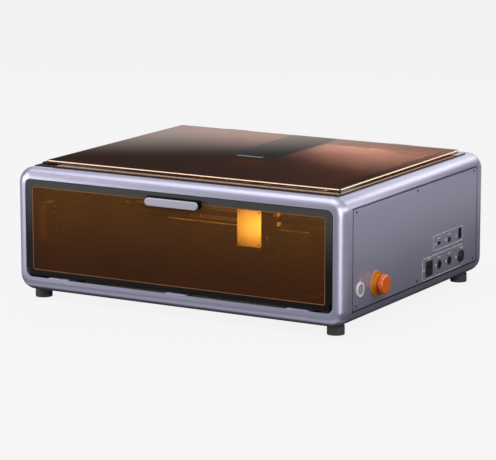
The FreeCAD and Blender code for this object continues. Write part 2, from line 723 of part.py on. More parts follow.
def head_fan_rotor():
    x, y = head_centre()
    hub = rod(2, 0, 6, (0, 0), 6.5)
    rotor = join([hub] + blades(7, 6.5, 16.0, 6, 40)).cut(rod(2, -1, 7, (0, 0), 2.5 + PIN_FIT))
    rotor.translate(Vector(x, y, HEAD_BODY_Z[1] - 7.4))
    return rotor


# ================================================================ exhaust
def exhaust_fan_frame():
    half = FAN_SIZE / 2
    centre = (FAN_X, FAN_Z)
    block = box((FAN_X - half, FAN_X + half), FAN_Y, (FAN_Z - half, FAN_Z + half))
    block = rounded(block, 5.0, 1).cut(rod(1, FAN_Y[0] - 1, FAN_Y[1] + 1, centre, FAN_BORE_R))
    arms_y = (FAN_Y[1] - 3, FAN_Y[1])
    arms = [rod(1, arms_y[0], arms_y[1], centre, FAN_HUB_R)]
    for number in range(4):
        arm = box((0, FAN_BORE_R + 1), arms_y, (-1.5, 1.5))
        arm.rotate(Vector(0, 0, 0), Vector(0, 1, 0), 45 + 90 * number)
        arm.translate(Vector(FAN_X, 0, FAN_Z))
        arms.append(arm)
    pin = rod(1, FAN_Y[0] + 4, arms_y[0], centre, 2.5)
    return join([block, pin] + arms)


def exhaust_fan_rotor():
    hub = rod(2, 0, 18, (0, 0), FAN_HUB_R)
    rotor = join([hub] + blades(7, FAN_HUB_R, FAN_BORE_R - 1.2, 18, 48))
    rotor = rotor.cut(rod(2, -1, 19, (0, 0), 2.5 + PIN_FIT))
    rotor.rotate(Vector(0, 0, 0), Vector(1, 0, 0), -90)
    rotor.translate(Vector(FAN_X, FAN_Y[0] + 2.5, FAN_Z))
    return rotor


def exhaust_grille():
    """A slatted cover over the fan's inlet, with one cross bar."""
    deep = (FAN_Y[0] - 5, FAN_Y[0])
    rim = 4.0
    outer = box(GRILLE_X, deep, GRILLE_Z)
    inner = box((GRILLE_X[0] + rim, GRILLE_X[1] - rim), WIDE, (GRILLE_Z[0] + rim, GRILLE_Z[1] - rim))
    bar = box((GRILLE_X[0] + 1, GRILLE_X[1] - 1), deep, (GRILLE_BAR_Z - 2, GRILLE_BAR_Z + 2))
    slats = []
    for number in range(13):
        x = GRILLE_X[0] + rim + 4.2 + number * 6.1
        slats.append(box((x, x + 1.6), (deep[0] + 1, deep[1]), (GRILLE_Z[0] + 1, GRILLE_Z[1] - 1)))
    return join([outer.cut(inner), bar] + slats)


def duct_collar():
    """The outlet that an exhaust hose slides over."""
    centre = (FAN_X, FAN_Z)
    bore = COLLAR_R - COLLAR_WALL
    flange = ring(1, HALF_D, HALF_D + 2, centre, COLLAR_FLANGE_R, bore)
    return join([flange, ring(1, HALF_D, HALF_D + 2 + COLLAR_LENGTH, centre, COLLAR_R, bore)])


# ================================================================ electronics and controls
def control_board():
    start = INNER_X + INNER_WALL
    board = box((start + 3.5, start + 5.1), (20, 165), (32, 108))
    posts = [rod(0, start, start + 4, (y, z), 3.0) for y in (27, 158) for z in (39, 101)]
    chips = []
    for y, z, wide, high in ((40, 60, 18, 18), (70, 74, 26, 26), (110, 44, 20, 12), (130, 80, 14, 14)):
        chips.append(box((start + 5, start + 9), (y, y + wide), (z, z + high)))
    return join([board] + posts + chips)


def power_button_bezel():
    flange = rod(0, HALF_W, HALF_W + 1.7, BUTTON, BUTTON_R)
    barrel = rod(0, HALF_W - 22, HALF_W, BUTTON, 9.5)
    return join([flange, barrel]).cut(rod(0, HALF_W - 8, HALF_W + 2, BUTTON, 7.9))


def power_button_cap():
    cap = rod(0, HALF_W - 5.5, HALF_W + 1.4, BUTTON, 7.5)
    return cap.makeFillet(0.5, [e for e in cap.Edges if in_plane(e, 0, HALF_W + 1.4)])


def estop_base():
    """The yellow backing disc, the collar on it and the barrel behind the panel."""
    disc = rod(0, HALF_W, HALF_W + 2, ESTOP, ESTOP_DISC_R)
    collar = rod(0, HALF_W + 1, HALF_W + 5, ESTOP, 13.0)
    barrel = rod(0, HALF_W - 24, HALF_W, ESTOP, 11.0)
    return join([disc, collar, barrel]).cut(rod(0, HALF_W - 20, HALF_W + 6, ESTOP, 9.9))


def estop_stem():
    neck = rod(0, HALF_W - 12, HALF_W + 9.5, ESTOP, 9.5)
    return join([neck, rod(0, HALF_W + 9, HALF_W + 14, ESTOP, 5.0)])


def estop_head():
    """The mushroom head, with three finger grooves round its edge."""
    low, high = HALF_W + 9.7, HALF_W + 17.0
    head = rod(0, low, high, ESTOP, ESTOP_HEAD_R)
    head = head.makeFillet(3.0, [e for e in head.Edges if in_plane(e, 0, high)])
    head = head.makeFillet(1.0, [e for e in head.Edges if in_plane(e, 0, low)])
    cuts = [rod(0, low - 0.5, HALF_W + 14.3, ESTOP, 5.0 + PIN_FIT)]
    for number in range(3):
        angle = math.radians(30 + 120 * number)
        reach = ESTOP_HEAD_R + 1.2
        centre = (ESTOP[0] + reach * math.cos(angle), ESTOP[1] + reach * math.sin(angle))
        cuts.append(rod(0, low - 1, high + 1, centre, 2.4))
    return head.cut(group(cuts))


def key_switch_body():
    flange = rod(0, HALF_W, HALF_W + 2.5, KEY, 9.5)
    barrel = rod(0, HALF_W - 20, HALF_W, KEY, 8.0)
    return join([flange, barrel]).cut(rod(0, HALF_W - 12, HALF_W + 3, KEY, 4.0 + PIN_FIT))


def key_barrel():
    core = rod(0, HALF_W - 11, HALF_W + 2.9, KEY, 4.0)
    slot_y, slot_z = (KEY[0] - 0.6, KEY[0] + 0.6), (KEY[1] - 2.8, KEY[1] + 2.8)
    return core.cut(box((HALF_W - 4, HALF_W + 4), slot_y, slot_z))


def centred(middle, size):
    return middle - size / 2, middle + size / 2


def rocker_bezel():
    flange = box((HALF_W, HALF_W + 1.2), centred(ROCKER[0], 22.5), centred(ROCKER[1], 23.3))
    body = box((HALF_W - 15, HALF_W + 1), centred(ROCKER[0], 18.5), centred(ROCKER[1], 18.3))
    well = box((HALF_W - 7.5, HALF_W + 3), centred(ROCKER[0], 14.5), centred(ROCKER[1], 14.7))
    bore = rod(1, ROCKER[0] - 8.5, ROCKER[0] + 8.5, (HALF_W - 2.5, ROCKER[1]), 1.0 + PIN_FIT)
    return join([rounded(flange, 2.0, 0), body]).cut(well).cut(bore)


def rocker():
    """The switch's paddle, a shallow V in front, with its lower half pressed in."""
    half = 6.5
    x0, x1 = HALF_W - 5.5, HALF_W + 2.5
    z0, z1 = ROCKER[1] - half, ROCKER[1] + half
    y0 = ROCKER[0] - 6.75
    corners = [(x0, z0), (x1, z0), (x1 - 0.7, ROCKER[1]), (x1, z1), (x0, z1), (x0, z0)]
    outline = Part.makePolygon([Vector(x, y0, z) for x, z in corners])
    paddle = Part.Face(outline).extrude(Vector(0, 13.5, 0))
    axle = rod(1, ROCKER[0] - 8.3, ROCKER[0] + 8.3, (HALF_W - 2.5, ROCKER[1]), 1.0)
    tilted = join([paddle, axle])
    tilted.rotate(Vector(HALF_W - 2.5, ROCKER[0], ROCKER[1]), Vector(0, 1, 0), ROCKER_TILT)
    return tilted


def usb_socket():
    shell_z = centred(USB_PORT[1], 4.4)
    body = rounded(box((HALF_W - 12, HALF_W + 0.3), centred(USB_PORT[0], 10.4), shell_z), 2.0, 0)
    mouth = rounded(box((HALF_W - 7, HALF_W + 1), centred(USB_PORT[0], 8.8), centred(USB_PORT[1], 3.0)), 1.4, 0)
    tongue = box((HALF_W - 8, HALF_W - 1), centred(USB_PORT[0], 6.4), centred(USB_PORT[1], 0.7))
    return join([body.cut(mouth), tongue])


def card_socket():
    """A tall socket whose upper half is narrower."""
    y, z = CARD_PORT
    body = box((HALF_W - 14, HALF_W + 0.3), centred(y, 11.4), centred(z, 16.6))
    lower = box((HALF_W - 10, HALF_W + 1), centred(y, 9.2), (z - 7.2, z + 0.4))
    upper = box((HALF_W - 10, HALF_W + 1), centred(y, 6.0), (z, z + 6.8))
    return rounded(body, 1.0, 0).cut(lower).cut(upper)


def jack_socket():
    body = rod(0, HALF_W - 14, HALF_W + 0.8, AUDIO_JACK, 4.5)
    return body.cut(rod(0, HALF_W - 11, HALF_W + 1, AUDIO_JACK, 1.8))


def round_socket(y, radius):
    centre = (y, SOCKET_Z)
    body = rod(0, HALF_W - 16, HALF_W + 1.0, centre, radius)
    hollow = ring(0, HALF_W - 10, HALF_W + 2, centre, radius - 2.4, 1.1)
    return body.cut(hollow)


def sockets():
    parts = [usb_socket(), card_socket(), jack_socket()]
    return group(parts + [round_socket(y, radius) for y, radius in ROUND_SOCKETS])


def control_bodies():
    """What stands in holes in the right side panel, each filled in solid."""
    through = (HALF_W - 6, HALF_W + 6)
    bodies = [
        rod(0, through[0], through[1], BUTTON, 9.5),
        rod(0, through[0], through[1], ESTOP, 11.0),
        rod(0, through[0], through[1], KEY, 8.0),
        rod(0, through[0], through[1], AUDIO_JACK, 4.5),
        box(through, centred(ROCKER[0], 18.5), centred(ROCKER[1], 18.3)),
        rounded(box(through, centred(USB_PORT[0], 10.4), centred(USB_PORT[1], 4.4)), 2.0, 0),
        rounded(box(through, centred(CARD_PORT[0], 11.4), centred(CARD_PORT[1], 16.6)), 1.0, 0),
    ]
    return bodies + [rod(0, through[0], through[1], (y, SOCKET_Z), r) for y, r in ROUND_SOCKETS]


# ================================================================ output
right_rails = side_rails()
NODES = {
    "front_frame": front_frame(),
    "rear_frame": rear_frame(),
    "side_rails_right": group(right_rails),
    "side_rails_left": group([mirrored(rail) for rail in right_rails]),
    "side_panel_right": side_panel_right(),
    "side_panel_left": mirrored(side_panel()),
    "panel_screws": panel_screws(),
    "rear_panel": rear_panel(),
    "bottom_plate": bottom_plate(),
    "feet": feet(),
    "top_deck": top_deck(),
    "inner_walls": both_sides(inner_wall()),
    "led_strip": led_strip(),
    "bed_frame": bed_frame(),
    "bed_slats": bed_slats(),
    "door_frame": door_frame(),
    "door_window": door_window(),
    "door_handle": door_handle(),
    "handle_block": handle_block(),
    "door_hinge_brackets": door_hinge_brackets(),
    "lid_panel": lid_panel(),
    "lid_frame": lid_frame(),
    "lid_strip": lid_strip(),
    "camera_housing": camera_housing(),
    "lid_hinge_leaves": lid_hinge_leaves(),
    "lid_hinge_bases": lid_hinge_bases(),
    "hinge_pins": hinge_pins(),
    "y_rails": y_rails(),
    "y_motor": y_motor(),
    "y_belts": y_belts(),
    "y_drive_shaft": y_drive_shaft(),
    "y_idler_pulleys": y_idler_pulleys(),
    "idler_brackets": idler_brackets(),
    "gantry_beam": gantry_beam(),
    "gantry_carriages": gantry_carriages(),
    "x_rail": x_rail(),
    "x_belt": x_belt(),
    "x_motor": x_motor(),
    "x_drive_pulley": x_drive_pulley(),
    "x_idler_pulley": x_idler_pulley(),
    "head_carriage": head_carriage(),
    "laser_module": laser_module(),
    "head_cover": head_cover(),
    "nozzle": nozzle(),
    "head_fan_rotor": head_fan_rotor(),
    "exhaust_fan_frame": exhaust_fan_frame(),
    "exhaust_fan_rotor": exhaust_fan_rotor(),
    "exhaust_grille": exhaust_grille(),
    "duct_collar": duct_collar(),
    "control_board": control_board(),
    "power_button_bezel": power_button_bezel(),
    "power_button_cap": power_button_cap(),
    "estop_base": estop_base(),
    "estop_stem": estop_stem(),
    "estop_head": estop_head(),
    "key_switch_body": key_switch_body(),
    "key_barrel": key_barrel(),
    "rocker_bezel": rocker_bezel(),
    "rocker": rocker(),
    "sockets": sockets(),
}

os.makedirs("parts", exist_ok=True)
for name, shape in NODES.items():
    solids = shape.Solids
    if not shape.isValid() or not solids:
        raise RuntimeError(name + " is not a valid solid")
    solid = solids[0] if len(solids) == 1 else Part.makeCompound(solids)
    solid.exportStep(os.path.join("parts", name + ".step"))
    print(name, len(solids), round(shape.Volume / 1000.0, 2), "cm3")
print(len(NODES), "nodes")
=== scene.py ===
import math

import bpy
from bpy.props import FloatProperty, FloatVectorProperty, IntProperty, PointerProperty
from mathutils import Matrix, Vector


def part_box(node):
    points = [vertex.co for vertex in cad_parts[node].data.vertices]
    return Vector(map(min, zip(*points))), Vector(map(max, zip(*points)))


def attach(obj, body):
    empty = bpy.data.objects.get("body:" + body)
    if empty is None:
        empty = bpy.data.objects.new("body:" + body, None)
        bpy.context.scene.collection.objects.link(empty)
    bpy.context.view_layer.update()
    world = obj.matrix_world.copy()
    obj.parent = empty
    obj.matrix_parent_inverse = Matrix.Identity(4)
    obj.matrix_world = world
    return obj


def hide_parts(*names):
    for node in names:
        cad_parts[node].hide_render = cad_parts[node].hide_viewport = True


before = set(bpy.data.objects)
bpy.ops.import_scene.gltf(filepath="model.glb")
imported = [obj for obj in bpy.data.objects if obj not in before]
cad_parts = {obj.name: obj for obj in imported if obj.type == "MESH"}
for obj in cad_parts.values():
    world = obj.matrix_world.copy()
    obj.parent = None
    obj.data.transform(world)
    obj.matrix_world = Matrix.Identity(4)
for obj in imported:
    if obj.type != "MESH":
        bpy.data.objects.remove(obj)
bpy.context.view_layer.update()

bl_info = {
    "name": "Desktop laser cutter",
    "version": (1, 0, 0),
    "blender": (4, 5, 0),
    "location": "View3D > Sidebar > Cutter",
    "description": "Finishes, fittings and studio for a desktop laser cutter",
    "category": "Object",
}

MM = 0.001
LIT_WHITE = (0.92, 0.92, 0.92)
DIFFUSER_WHITE = (0.85, 0.84, 0.78)
MATT_SHINE = 0.08
FLAT_ROUGH = 0.85
FLOOR_GLOW = 0.875
COOL = 1.04
WELD = 0.000002
CAMERA_YAW = math.radians(29.79)
CAMERA_PITCH = math.radians(11.21)
SHEET_CORNER = 0.004
ALONG_X, ALONG_Y, ALONG_Z = (18, 900, 900), (900, 18, 900), (900, 900, 18)


# ---------------------------------------------------------------- settings
def colour_setting(label, note, default):
    return FloatVectorProperty(
        name=label, description=note, subtype="COLOR", size=3, min=0, max=1, default=default)


def length_setting(label, note, millimetres):
    return FloatProperty(
        name=label, description=note, subtype="DISTANCE", unit="LENGTH", default=millimetres * MM)


class FinishSettings(bpy.types.PropertyGroup):
    paint: colour_setting("Case paint", "Metallic paint of the casing", (0.44, 0.43, 0.56))
    inner: colour_setting("Inner walls", "Powder coat of the inner walls", (0.018, 0.017, 0.017))
    deck: colour_setting("Top deck", "Black deck round the access opening", (0.004, 0.004, 0.004))
    # The door surround is one black: its lighter top is painted sheen and its darker foot is
    # painted shade
    door_top_painted_sheen: colour_setting("Door top", "Door surround at its top edge", (0.06, 0.06, 0.056))
    door_foot_painted_shade: colour_setting(
        "Door foot", "Door surround at its bottom edge", (0.002, 0.002, 0.002))
    # The window is one amber tint: its paler top is painted light and its darker foot is painted
    # shade
    window_top_painted_light: colour_setting("Window top", "Amber window near its top edge", (0.48, 0.205, 0.030))
    window_foot_painted_shade: colour_setting(
        "Window foot", "Amber window near its bottom edge", (0.25, 0.080, 0.012))
    # The lid is one amber sheet: its dark front and pale rear are painted reflection
    lid_front_painted_shade: colour_setting("Lid front", "Amber sheet at its front edge", (0.085, 0.022, 0.004))
    lid_band: colour_setting(
        "Lid band", "Printed band along the middle of the lid", (0.055, 0.060, 0.068))
    lid_rear_painted_reflection: colour_setting("Lid rear", "Amber sheet at its rear edge", (0.96, 0.51, 0.38))
    lid_layer: colour_setting(
        "Lid layer", "Lower layer under the amber sheet", (0.07, 0.025, 0.015))
    # The copper of the cut edge is a painted highlight, and the edge is made to glow with it
    edge_painted_highlight: colour_setting("Cut edge", "Flame polished edge of the sheet", (1.0, 0.72, 0.48))
    edge_brown: colour_setting(
        "Lower edge", "Darker lower half of the cut edge", (0.050, 0.018, 0.011))
    handle: colour_setting(
        "Handle", "Satin silver of the handle and door brackets", (0.50, 0.49, 0.58))
    ring: colour_setting("Button ring", "Pale ring round the push button", (0.72, 0.72, 0.73))
    bare: colour_setting(
        "Bare metal", "Satin metal of hinges, brackets and guards", (0.58, 0.58, 0.64))
    plastic: colour_setting("Black plastic", "Moulded black parts", (0.014, 0.014, 0.015))
    rubber: colour_setting("Rubber", "Feet", (0.052, 0.052, 0.054))
    belt: colour_setting("Belt", "Toothed belts", (0.005, 0.005, 0.005))
    steel: colour_setting("Steel", "Rails and shaft", (0.52, 0.52, 0.54))
    screw: colour_setting("Screws", "Blackened screws", (0.020, 0.020, 0.024))
    pulley: colour_setting("Pulleys", "Turned aluminium", (0.66, 0.66, 0.68))
    bed: colour_setting("Bed", "Rim and slats of the bed", (0.035, 0.035, 0.038))
    gantry: colour_setting("Gantry", "Anodised beam and carriages", (0.018, 0.018, 0.020))
    motor: colour_setting("Motors", "Painted motor bodies", (0.022, 0.022, 0.024))
    head: colour_setting("Head cover", "Silver cover of the laser head", (0.80, 0.78, 0.74))
    brass: colour_setting("Brass", "Nozzle", (0.16, 0.105, 0.04))
    board: colour_setting("Board", "Solder mask of the control board", (0.010, 0.090, 0.038))
    chrome: colour_setting("Chrome", "Polished lock barrel", (0.72, 0.72, 0.75))
    button: colour_setting("Button", "Face of the push button", (0.36, 0.34, 0.34))
    yellow: colour_setting("Stop base", "Disc of the emergency stop", (0.54, 0.18, 0.008))
    orange: colour_setting("Stop head", "Mushroom of the emergency stop", (0.68, 0.115, 0.010))
    print_white: colour_setting("Print", "Printed marks on the side", (0.62, 0.62, 0.68))


class FittingSettings(bpy.types.PropertyGroup):
    print_height: length_setting("Print height", "How far printed marks stand proud", 0.08)
    print_width: length_setting("Print line", "Width of a printed line", 0.8)
    rim_width: length_setting("Window rim", "Width of the window's bright rim", 1.1)
    tooth_pitch: length_setting("Tooth pitch", "Pitch of the belt teeth", 2.0)
    foot_ridge: length_setting("Foot ridge", "Height of a ridge on a foot", 1.1)
    screw_socket: length_setting("Screw socket", "Across the flats of a screw's socket", 1.7)
    chips: IntProperty(name="Lamp chips", description="Number of chips in the lamp", default=40)


class StageSettings(bpy.types.PropertyGroup):
    lens: FloatProperty(name="Lens", description="Focal length in mm", default=190.3)
    yaw: FloatProperty(
        name="Yaw", description="Camera to the right of the front", subtype="ANGLE",
        default=CAMERA_YAW)
    pitch: FloatProperty(
        name="Pitch", description="Camera above the horizon", subtype="ANGLE",
        default=CAMERA_PITCH)
    place: FloatVectorProperty(
        name="Camera place", description="Where the camera stands", subtype="TRANSLATION",
        size=3, default=(1.98683, -3.48936, 0.88867))
    floor: colour_setting("Floor", "Pale floor", (0.035, 0.035, 0.035))


# ---------------------------------------------------------------- node helpers
def wire(tree, socket, value):
    if isinstance(value, bpy.types.NodeSocket):
        tree.links.new(value, socket)
    else:
        socket.default_value = value


def maths(tree, operation, *values):
    node = tree.nodes.new("ShaderNodeMath")
    node.operation = operation
    for socket, value in zip(node.inputs, values):
        wire(tree, socket, value)
    return node.outputs[0]


def scaled(tree, vector, factor):
    node = tree.nodes.new("ShaderNodeVectorMath")
    node.operation = "SCALE"
    wire(tree, node.inputs[0], vector)
    wire(tree, node.inputs["Scale"], factor)
    return node.outputs[0]


def blended(tree, factor, first, second):
    node = tree.nodes.new("ShaderNodeMix")
    node.data_type = "RGBA"
    wire(tree, node.inputs[0], factor)
    wire(tree, node.inputs[6], first)
    wire(tree, node.inputs[7], second)
    return node.outputs[2]


def noise(tree, place, scale, detail=3.0):
    node = tree.nodes.new("ShaderNodeTexNoise")
    wire(tree, node.inputs["Vector"], place)
    wire(tree, node.inputs["Scale"], scale)
    node.inputs["Detail"].default_value = detail
    return node.outputs[0]


def bumped(tree, height, strength, distance=0.0002):
    node = tree.nodes.new("ShaderNodeBump")
    wire(tree, node.inputs["Height"], height)
    wire(tree, node.inputs["Strength"], strength)
    node.inputs["Distance"].default_value = distance
    return node.outputs[0]


def object_place(tree):
    return tree.nodes.new("ShaderNodeTexCoord").outputs["Object"]


def new_group(name, inputs, outputs):
    tree = bpy.data.node_groups.new(name, "ShaderNodeTree")
    for label, kind, default in inputs:
        socket = tree.interface.new_socket(name=label, in_out="INPUT", socket_type=kind)
        socket.default_value = default
    for label, kind in outputs:
        tree.interface.new_socket(name=label, in_out="OUTPUT", socket_type=kind)
    start = tree.nodes.new("NodeGroupInput")
    end = tree.nodes.new("NodeGroupOutput")
    return tree, start.outputs, end.inputs


FLOAT, COLOUR, VECTOR = "NodeSocketFloat", "NodeSocketColor", "NodeSocketVector"
SURFACE = [("Color", COLOUR), ("Roughness", FLOAT), ("Normal", VECTOR)]


def grain_group():
    """Fine mottling of colour and gloss with a matching bump."""
    tree, given, made = new_group("Grain", [
        ("Color", COLOUR, (0.5, 0.5, 0.5, 1)), ("Tone", FLOAT, 0.1), ("Scale", FLOAT, 600.0),
        ("Roughness", FLOAT, 0.4), ("Spread", FLOAT, 0.1), ("Bump", FLOAT, 0.1)], SURFACE)
    place = object_place(tree)
    fine = maths(tree, "SUBTRACT", noise(tree, place, given["Scale"]), 0.5)
    broad = maths(tree, "SUBTRACT", noise(tree, place, 14.0, detail=2.0), 0.5)
    both = maths(tree, "ADD", fine, broad)
    tone = maths(tree, "MULTIPLY_ADD", both, given["Tone"], 1.0)
    wire(tree, made["Color"], scaled(tree, given["Color"], tone))
    rough = maths(tree, "MULTIPLY_ADD", both, given["Spread"], given["Roughness"])
    wire(tree, made["Roughness"], rough)
    wire(tree, made["Normal"], bumped(tree, fine, given["Bump"]))
    return tree


def brushed_group():
    """Long fine lines along one axis, for turned, drawn and brushed metal."""
    tree, given, made = new_group("Brushed", [
        ("Color", COLOUR, (0.5, 0.5, 0.5, 1)), ("Stretch", VECTOR, (20, 900, 900)),
        ("Tone", FLOAT, 0.15), ("Roughness", FLOAT, 0.3), ("Spread", FLOAT, 0.15),
        ("Bump", FLOAT, 0.15)], SURFACE)
    node = tree.nodes.new("ShaderNodeVectorMath")
    node.operation = "MULTIPLY"
    wire(tree, node.inputs[0], object_place(tree))
    wire(tree, node.inputs[1], given["Stretch"])
    lines = maths(tree, "SUBTRACT", noise(tree, node.outputs[0], 1.0, detail=2.0), 0.5)
    tone = maths(tree, "MULTIPLY_ADD", lines, given["Tone"], 1.0)
    wire(tree, made["Color"], scaled(tree, given["Color"], tone))
    rough = maths(tree, "MULTIPLY_ADD", lines, given["Spread"], given["Roughness"])
    wire(tree, made["Roughness"], rough)
    wire(tree, made["Normal"], bumped(tree, lines, given["Bump"]))
    return tree


def flake_group():
    """Metal flakes in a paint: every small cell has its own brightness."""
    tree, given, made = new_group("Flakes", [
        ("Color", COLOUR, (0.5, 0.5, 0.5, 1)), ("Scale", FLOAT, 1800.0),
        ("Sparkle", FLOAT, 0.2)], [("Color", COLOUR)])
    cells = tree.nodes.new("ShaderNodeTexVoronoi")
    wire(tree, cells.inputs["Vector"], object_place(tree))
    wire(tree, cells.inputs["Scale"], given["Scale"])
    bright = tree.nodes.new("ShaderNodeRGBToBW")
    wire(tree, bright.inputs[0], cells.outputs["Color"])
    offset = maths(tree, "SUBTRACT", bright.outputs[0], 0.5)
    tone = maths(tree, "MULTIPLY_ADD", offset, given["Sparkle"], 1.0)
    wire(tree, made["Color"], scaled(tree, given["Color"], tone))
    return tree


def fade_group():
    """One colour fading into another along a direction, from one height to another."""
    tree, given, made = new_group("Fade", [
        ("Start Color", COLOUR, (0, 0, 0, 1)), ("End Color", COLOUR, (1, 1, 1, 1)),
        ("Direction", VECTOR, (0, 0, 1)), ("Start", FLOAT, 0.0), ("End", FLOAT, 1.0)],
        [("Color", COLOUR), ("Factor", FLOAT)])
    node = tree.nodes.new("ShaderNodeVectorMath")
    node.operation = "DOT_PRODUCT"
    wire(tree, node.inputs[0], object_place(tree))
    wire(tree, node.inputs[1], given["Direction"])
    ramp = tree.nodes.new("ShaderNodeMapRange")
    ramp.interpolation_type = "SMOOTHSTEP"
    wire(tree, ramp.inputs["Value"], node.outputs["Value"])
    wire(tree, ramp.inputs["From Min"], given["Start"])
    wire(tree, ramp.inputs["From Max"], given["End"])
    share = ramp.outputs[0]
    wire(tree, made["Color"], blended(tree, share, given["Start Color"], given["End Color"]))
    wire(tree, made["Factor"], share)
    return tree


def dust_group():
    """Pale dust that settles on faces turned up."""
    tree, given, made = new_group("Dust", [
        ("Color", COLOUR, (0.5, 0.5, 0.5, 1)), ("Dust Color", COLOUR, (0.30, 0.27, 0.24, 1)),
        ("Amount", FLOAT, 0.1)], [("Color", COLOUR)])
    parts = tree.nodes.new("ShaderNodeSeparateXYZ")
    geometry = tree.nodes.new("ShaderNodeNewGeometry")
    wire(tree, parts.inputs[0], geometry.outputs["Normal"])
    up = maths(tree, "MAXIMUM", parts.outputs["Z"], 0.0)
    patches = noise(tree, object_place(tree), 55.0, detail=5.0)
    mask = maths(tree, "MULTIPLY", maths(tree, "MULTIPLY", up, patches), given["Amount"])
    wire(tree, made["Color"], blended(tree, mask, given["Color"], given["Dust Color"]))
    return tree


GROUP_MAKERS = {"Grain": grain_group, "Brushed": brushed_group, "Flakes": flake_group,
                "Fade": fade_group, "Dust": dust_group}


def group_node(tree, name, **values):
    """Places a shader node group in a material, building the group at its first use."""
    made = bpy.data.node_groups.get(name) or GROUP_MAKERS[name]()
    node = tree.nodes.new("ShaderNodeGroup")
    node.node_tree = made
    for label, value in values.items():
        wire(tree, node.inputs[label.replace("_", " ")], value)
    return node


def solid(colour):
    return (*colour, 1.0)


def new_material(name, metallic=0.0, coat=0.0, coat_roughness=0.1, specular=0.5):
    material = bpy.data.materials.new(name)
    material.use_nodes = True
    shader = material.node_tree.nodes["Principled BSDF"]
    shader.inputs["Metallic"].default_value = metallic
    shader.inputs["Coat Weight"].default_value = coat
    shader.inputs["Coat Roughness"].default_value = coat_roughness
    shader.inputs["Specular IOR Level"].default_value = specular
    return material, material.node_tree, shader


def principled(material):
    return next(node for node in material.node_tree.nodes if node.type == "BSDF_PRINCIPLED")


def join_surface(tree, shader, node):
    for label in ("Color", "Roughness", "Normal"):
        target = "Base Color" if label == "Color" else label
        wire(tree, shader.inputs[target], node.outputs[label])


def grain_over(tree, shader, colour, tone, scale, rough, spread, bump):
    """Lays the grain group over a colour and joins it to the shader."""
    node = group_node(tree, "Grain", Color=colour, Tone=tone, Scale=scale, Roughness=rough,
                      Spread=spread, Bump=bump)
    join_surface(tree, shader, node)
    return node


def glow_with(tree, shader, node, strength):
    """Makes the surface give out its own colour."""
    wire(tree, shader.inputs["Emission Color"], node.outputs["Color"])
    shader.inputs["Emission Strength"].default_value = strength


# ---------------------------------------------------------------- finishes
def grained(name, colour, tone, scale, rough, spread, bump, dust=0.0, **shader_values):
    """A moulded, cast or coated surface with fine grain."""
    material, tree, shader = new_material(name, **shader_values)
    node = grain_over(tree, shader, solid(colour), tone, scale, rough, spread, bump)
    if dust:
        dusty = group_node(tree, "Dust", Color=node.outputs["Color"], Amount=dust)
        wire(tree, shader.inputs["Base Color"], dusty.outputs["Color"])
    return material


def brushed(name, colour, stretch, tone, rough, spread, bump, **shader_values):
    """Bare metal with lines along one axis."""
    material, tree, shader = new_material(name, metallic=1.0, **shader_values)
    node = group_node(tree, "Brushed", Color=solid(colour), Stretch=stretch, Tone=tone,
                      Roughness=rough, Spread=spread, Bump=bump)
    join_surface(tree, shader, node)
    return material


def brushed_paint(name, colour):
    """Satin silver paint over brushed lines."""
    material, tree, shader = new_material(name, metallic=0.35, coat=0.2, coat_roughness=0.3)
    node = group_node(tree, "Brushed", Color=solid(colour), Stretch=ALONG_X, Tone=0.06,
                      Roughness=0.42, Spread=0.06, Bump=0.03)
    join_surface(tree, shader, node)
    return material


def matt(name, colour, rough=FLAT_ROUGH):
    """A surface that gives almost no shine back."""
    material = grained(name, colour, 0.2, 700.0, rough, 0.05, 0.10)
    principled(material).inputs["Specular IOR Level"].default_value = MATT_SHINE
    return material


def case_paint(s):
    material, tree, shader = new_material(
        "case_paint", metallic=0.70, coat=0.35, coat_roughness=0.22)
    flakes = group_node(tree, "Flakes", Color=solid(s.paint), Scale=1800.0, Sparkle=0.16)
    grain_over(tree, shader, flakes.outputs["Color"], 0.05, 900.0, 0.38, 0.06, 0.04)
    return material


def door_black(s):
    low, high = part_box("door_frame")
    material, tree, shader = new_material("door_black", specular=0.2)
    # Fades from the foot colour up to the top colour: painted shade below, painted sheen above
    fade = group_node(tree, "Fade", Start_Color=solid(s.door_foot_painted_shade), End_Color=solid(s.door_top_painted_sheen),
                      Direction=(0, 0, 1), Start=low.z + 0.045, End=high.z)
    grain_over(tree, shader, fade.outputs["Color"], 0.12, 1400.0, 0.42, 0.08, 0.10)
    return material


def amber_sheet(name, fade_values, clear, rough, shadow_tint, ior=1.49):
    """Tinted acrylic. Lamps pass it without bending, so what is behind it stays lit."""
    material, tree, shader = new_material(name)
    shader.inputs["Transmission Weight"].default_value = clear
    shader.inputs["IOR"].default_value = ior
    shader.inputs["Roughness"].default_value = rough
    fade = group_node(tree, "Fade", **fade_values)
    haze = group_node(tree, "Grain", Color=fade.outputs["Color"], Tone=0.16, Scale=90.0,
                      Roughness=rough, Spread=0.01, Bump=0.004)
    wire(tree, shader.inputs["Base Color"], haze.outputs["Color"])
    wire(tree, shader.inputs["Normal"], haze.outputs["Normal"])
    open_shader = tree.nodes.new("ShaderNodeBsdfTransparent")
    open_shader.inputs["Color"].default_value = solid(shadow_tint)
    mix = tree.nodes.new("ShaderNodeMixShader")
    path = tree.nodes.new("ShaderNodeLightPath")
    wire(tree, mix.inputs[0], path.outputs["Is Shadow Ray"])
    wire(tree, mix.inputs[1], shader.outputs[0])
    wire(tree, mix.inputs[2], open_shader.outputs[0])
    output = tree.nodes["Material Output"]
    wire(tree, output.inputs["Surface"], mix.outputs[0])
    return material


def window_amber(s):
    low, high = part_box("door_window")
    # Fades from the foot colour up to the top colour on a sheet of one tint: painted shade below,
    # painted light above
    values = {"Start_Color": solid(s.window_foot_painted_shade), "End_Color": solid(s.window_top_painted_light),
              "Direction": (0, 0, 1), "Start": low.z, "End": high.z}
    return amber_sheet("window_amber", values, 0.86, 0.03, (0.55, 0.40, 0.22), ior=1.22)


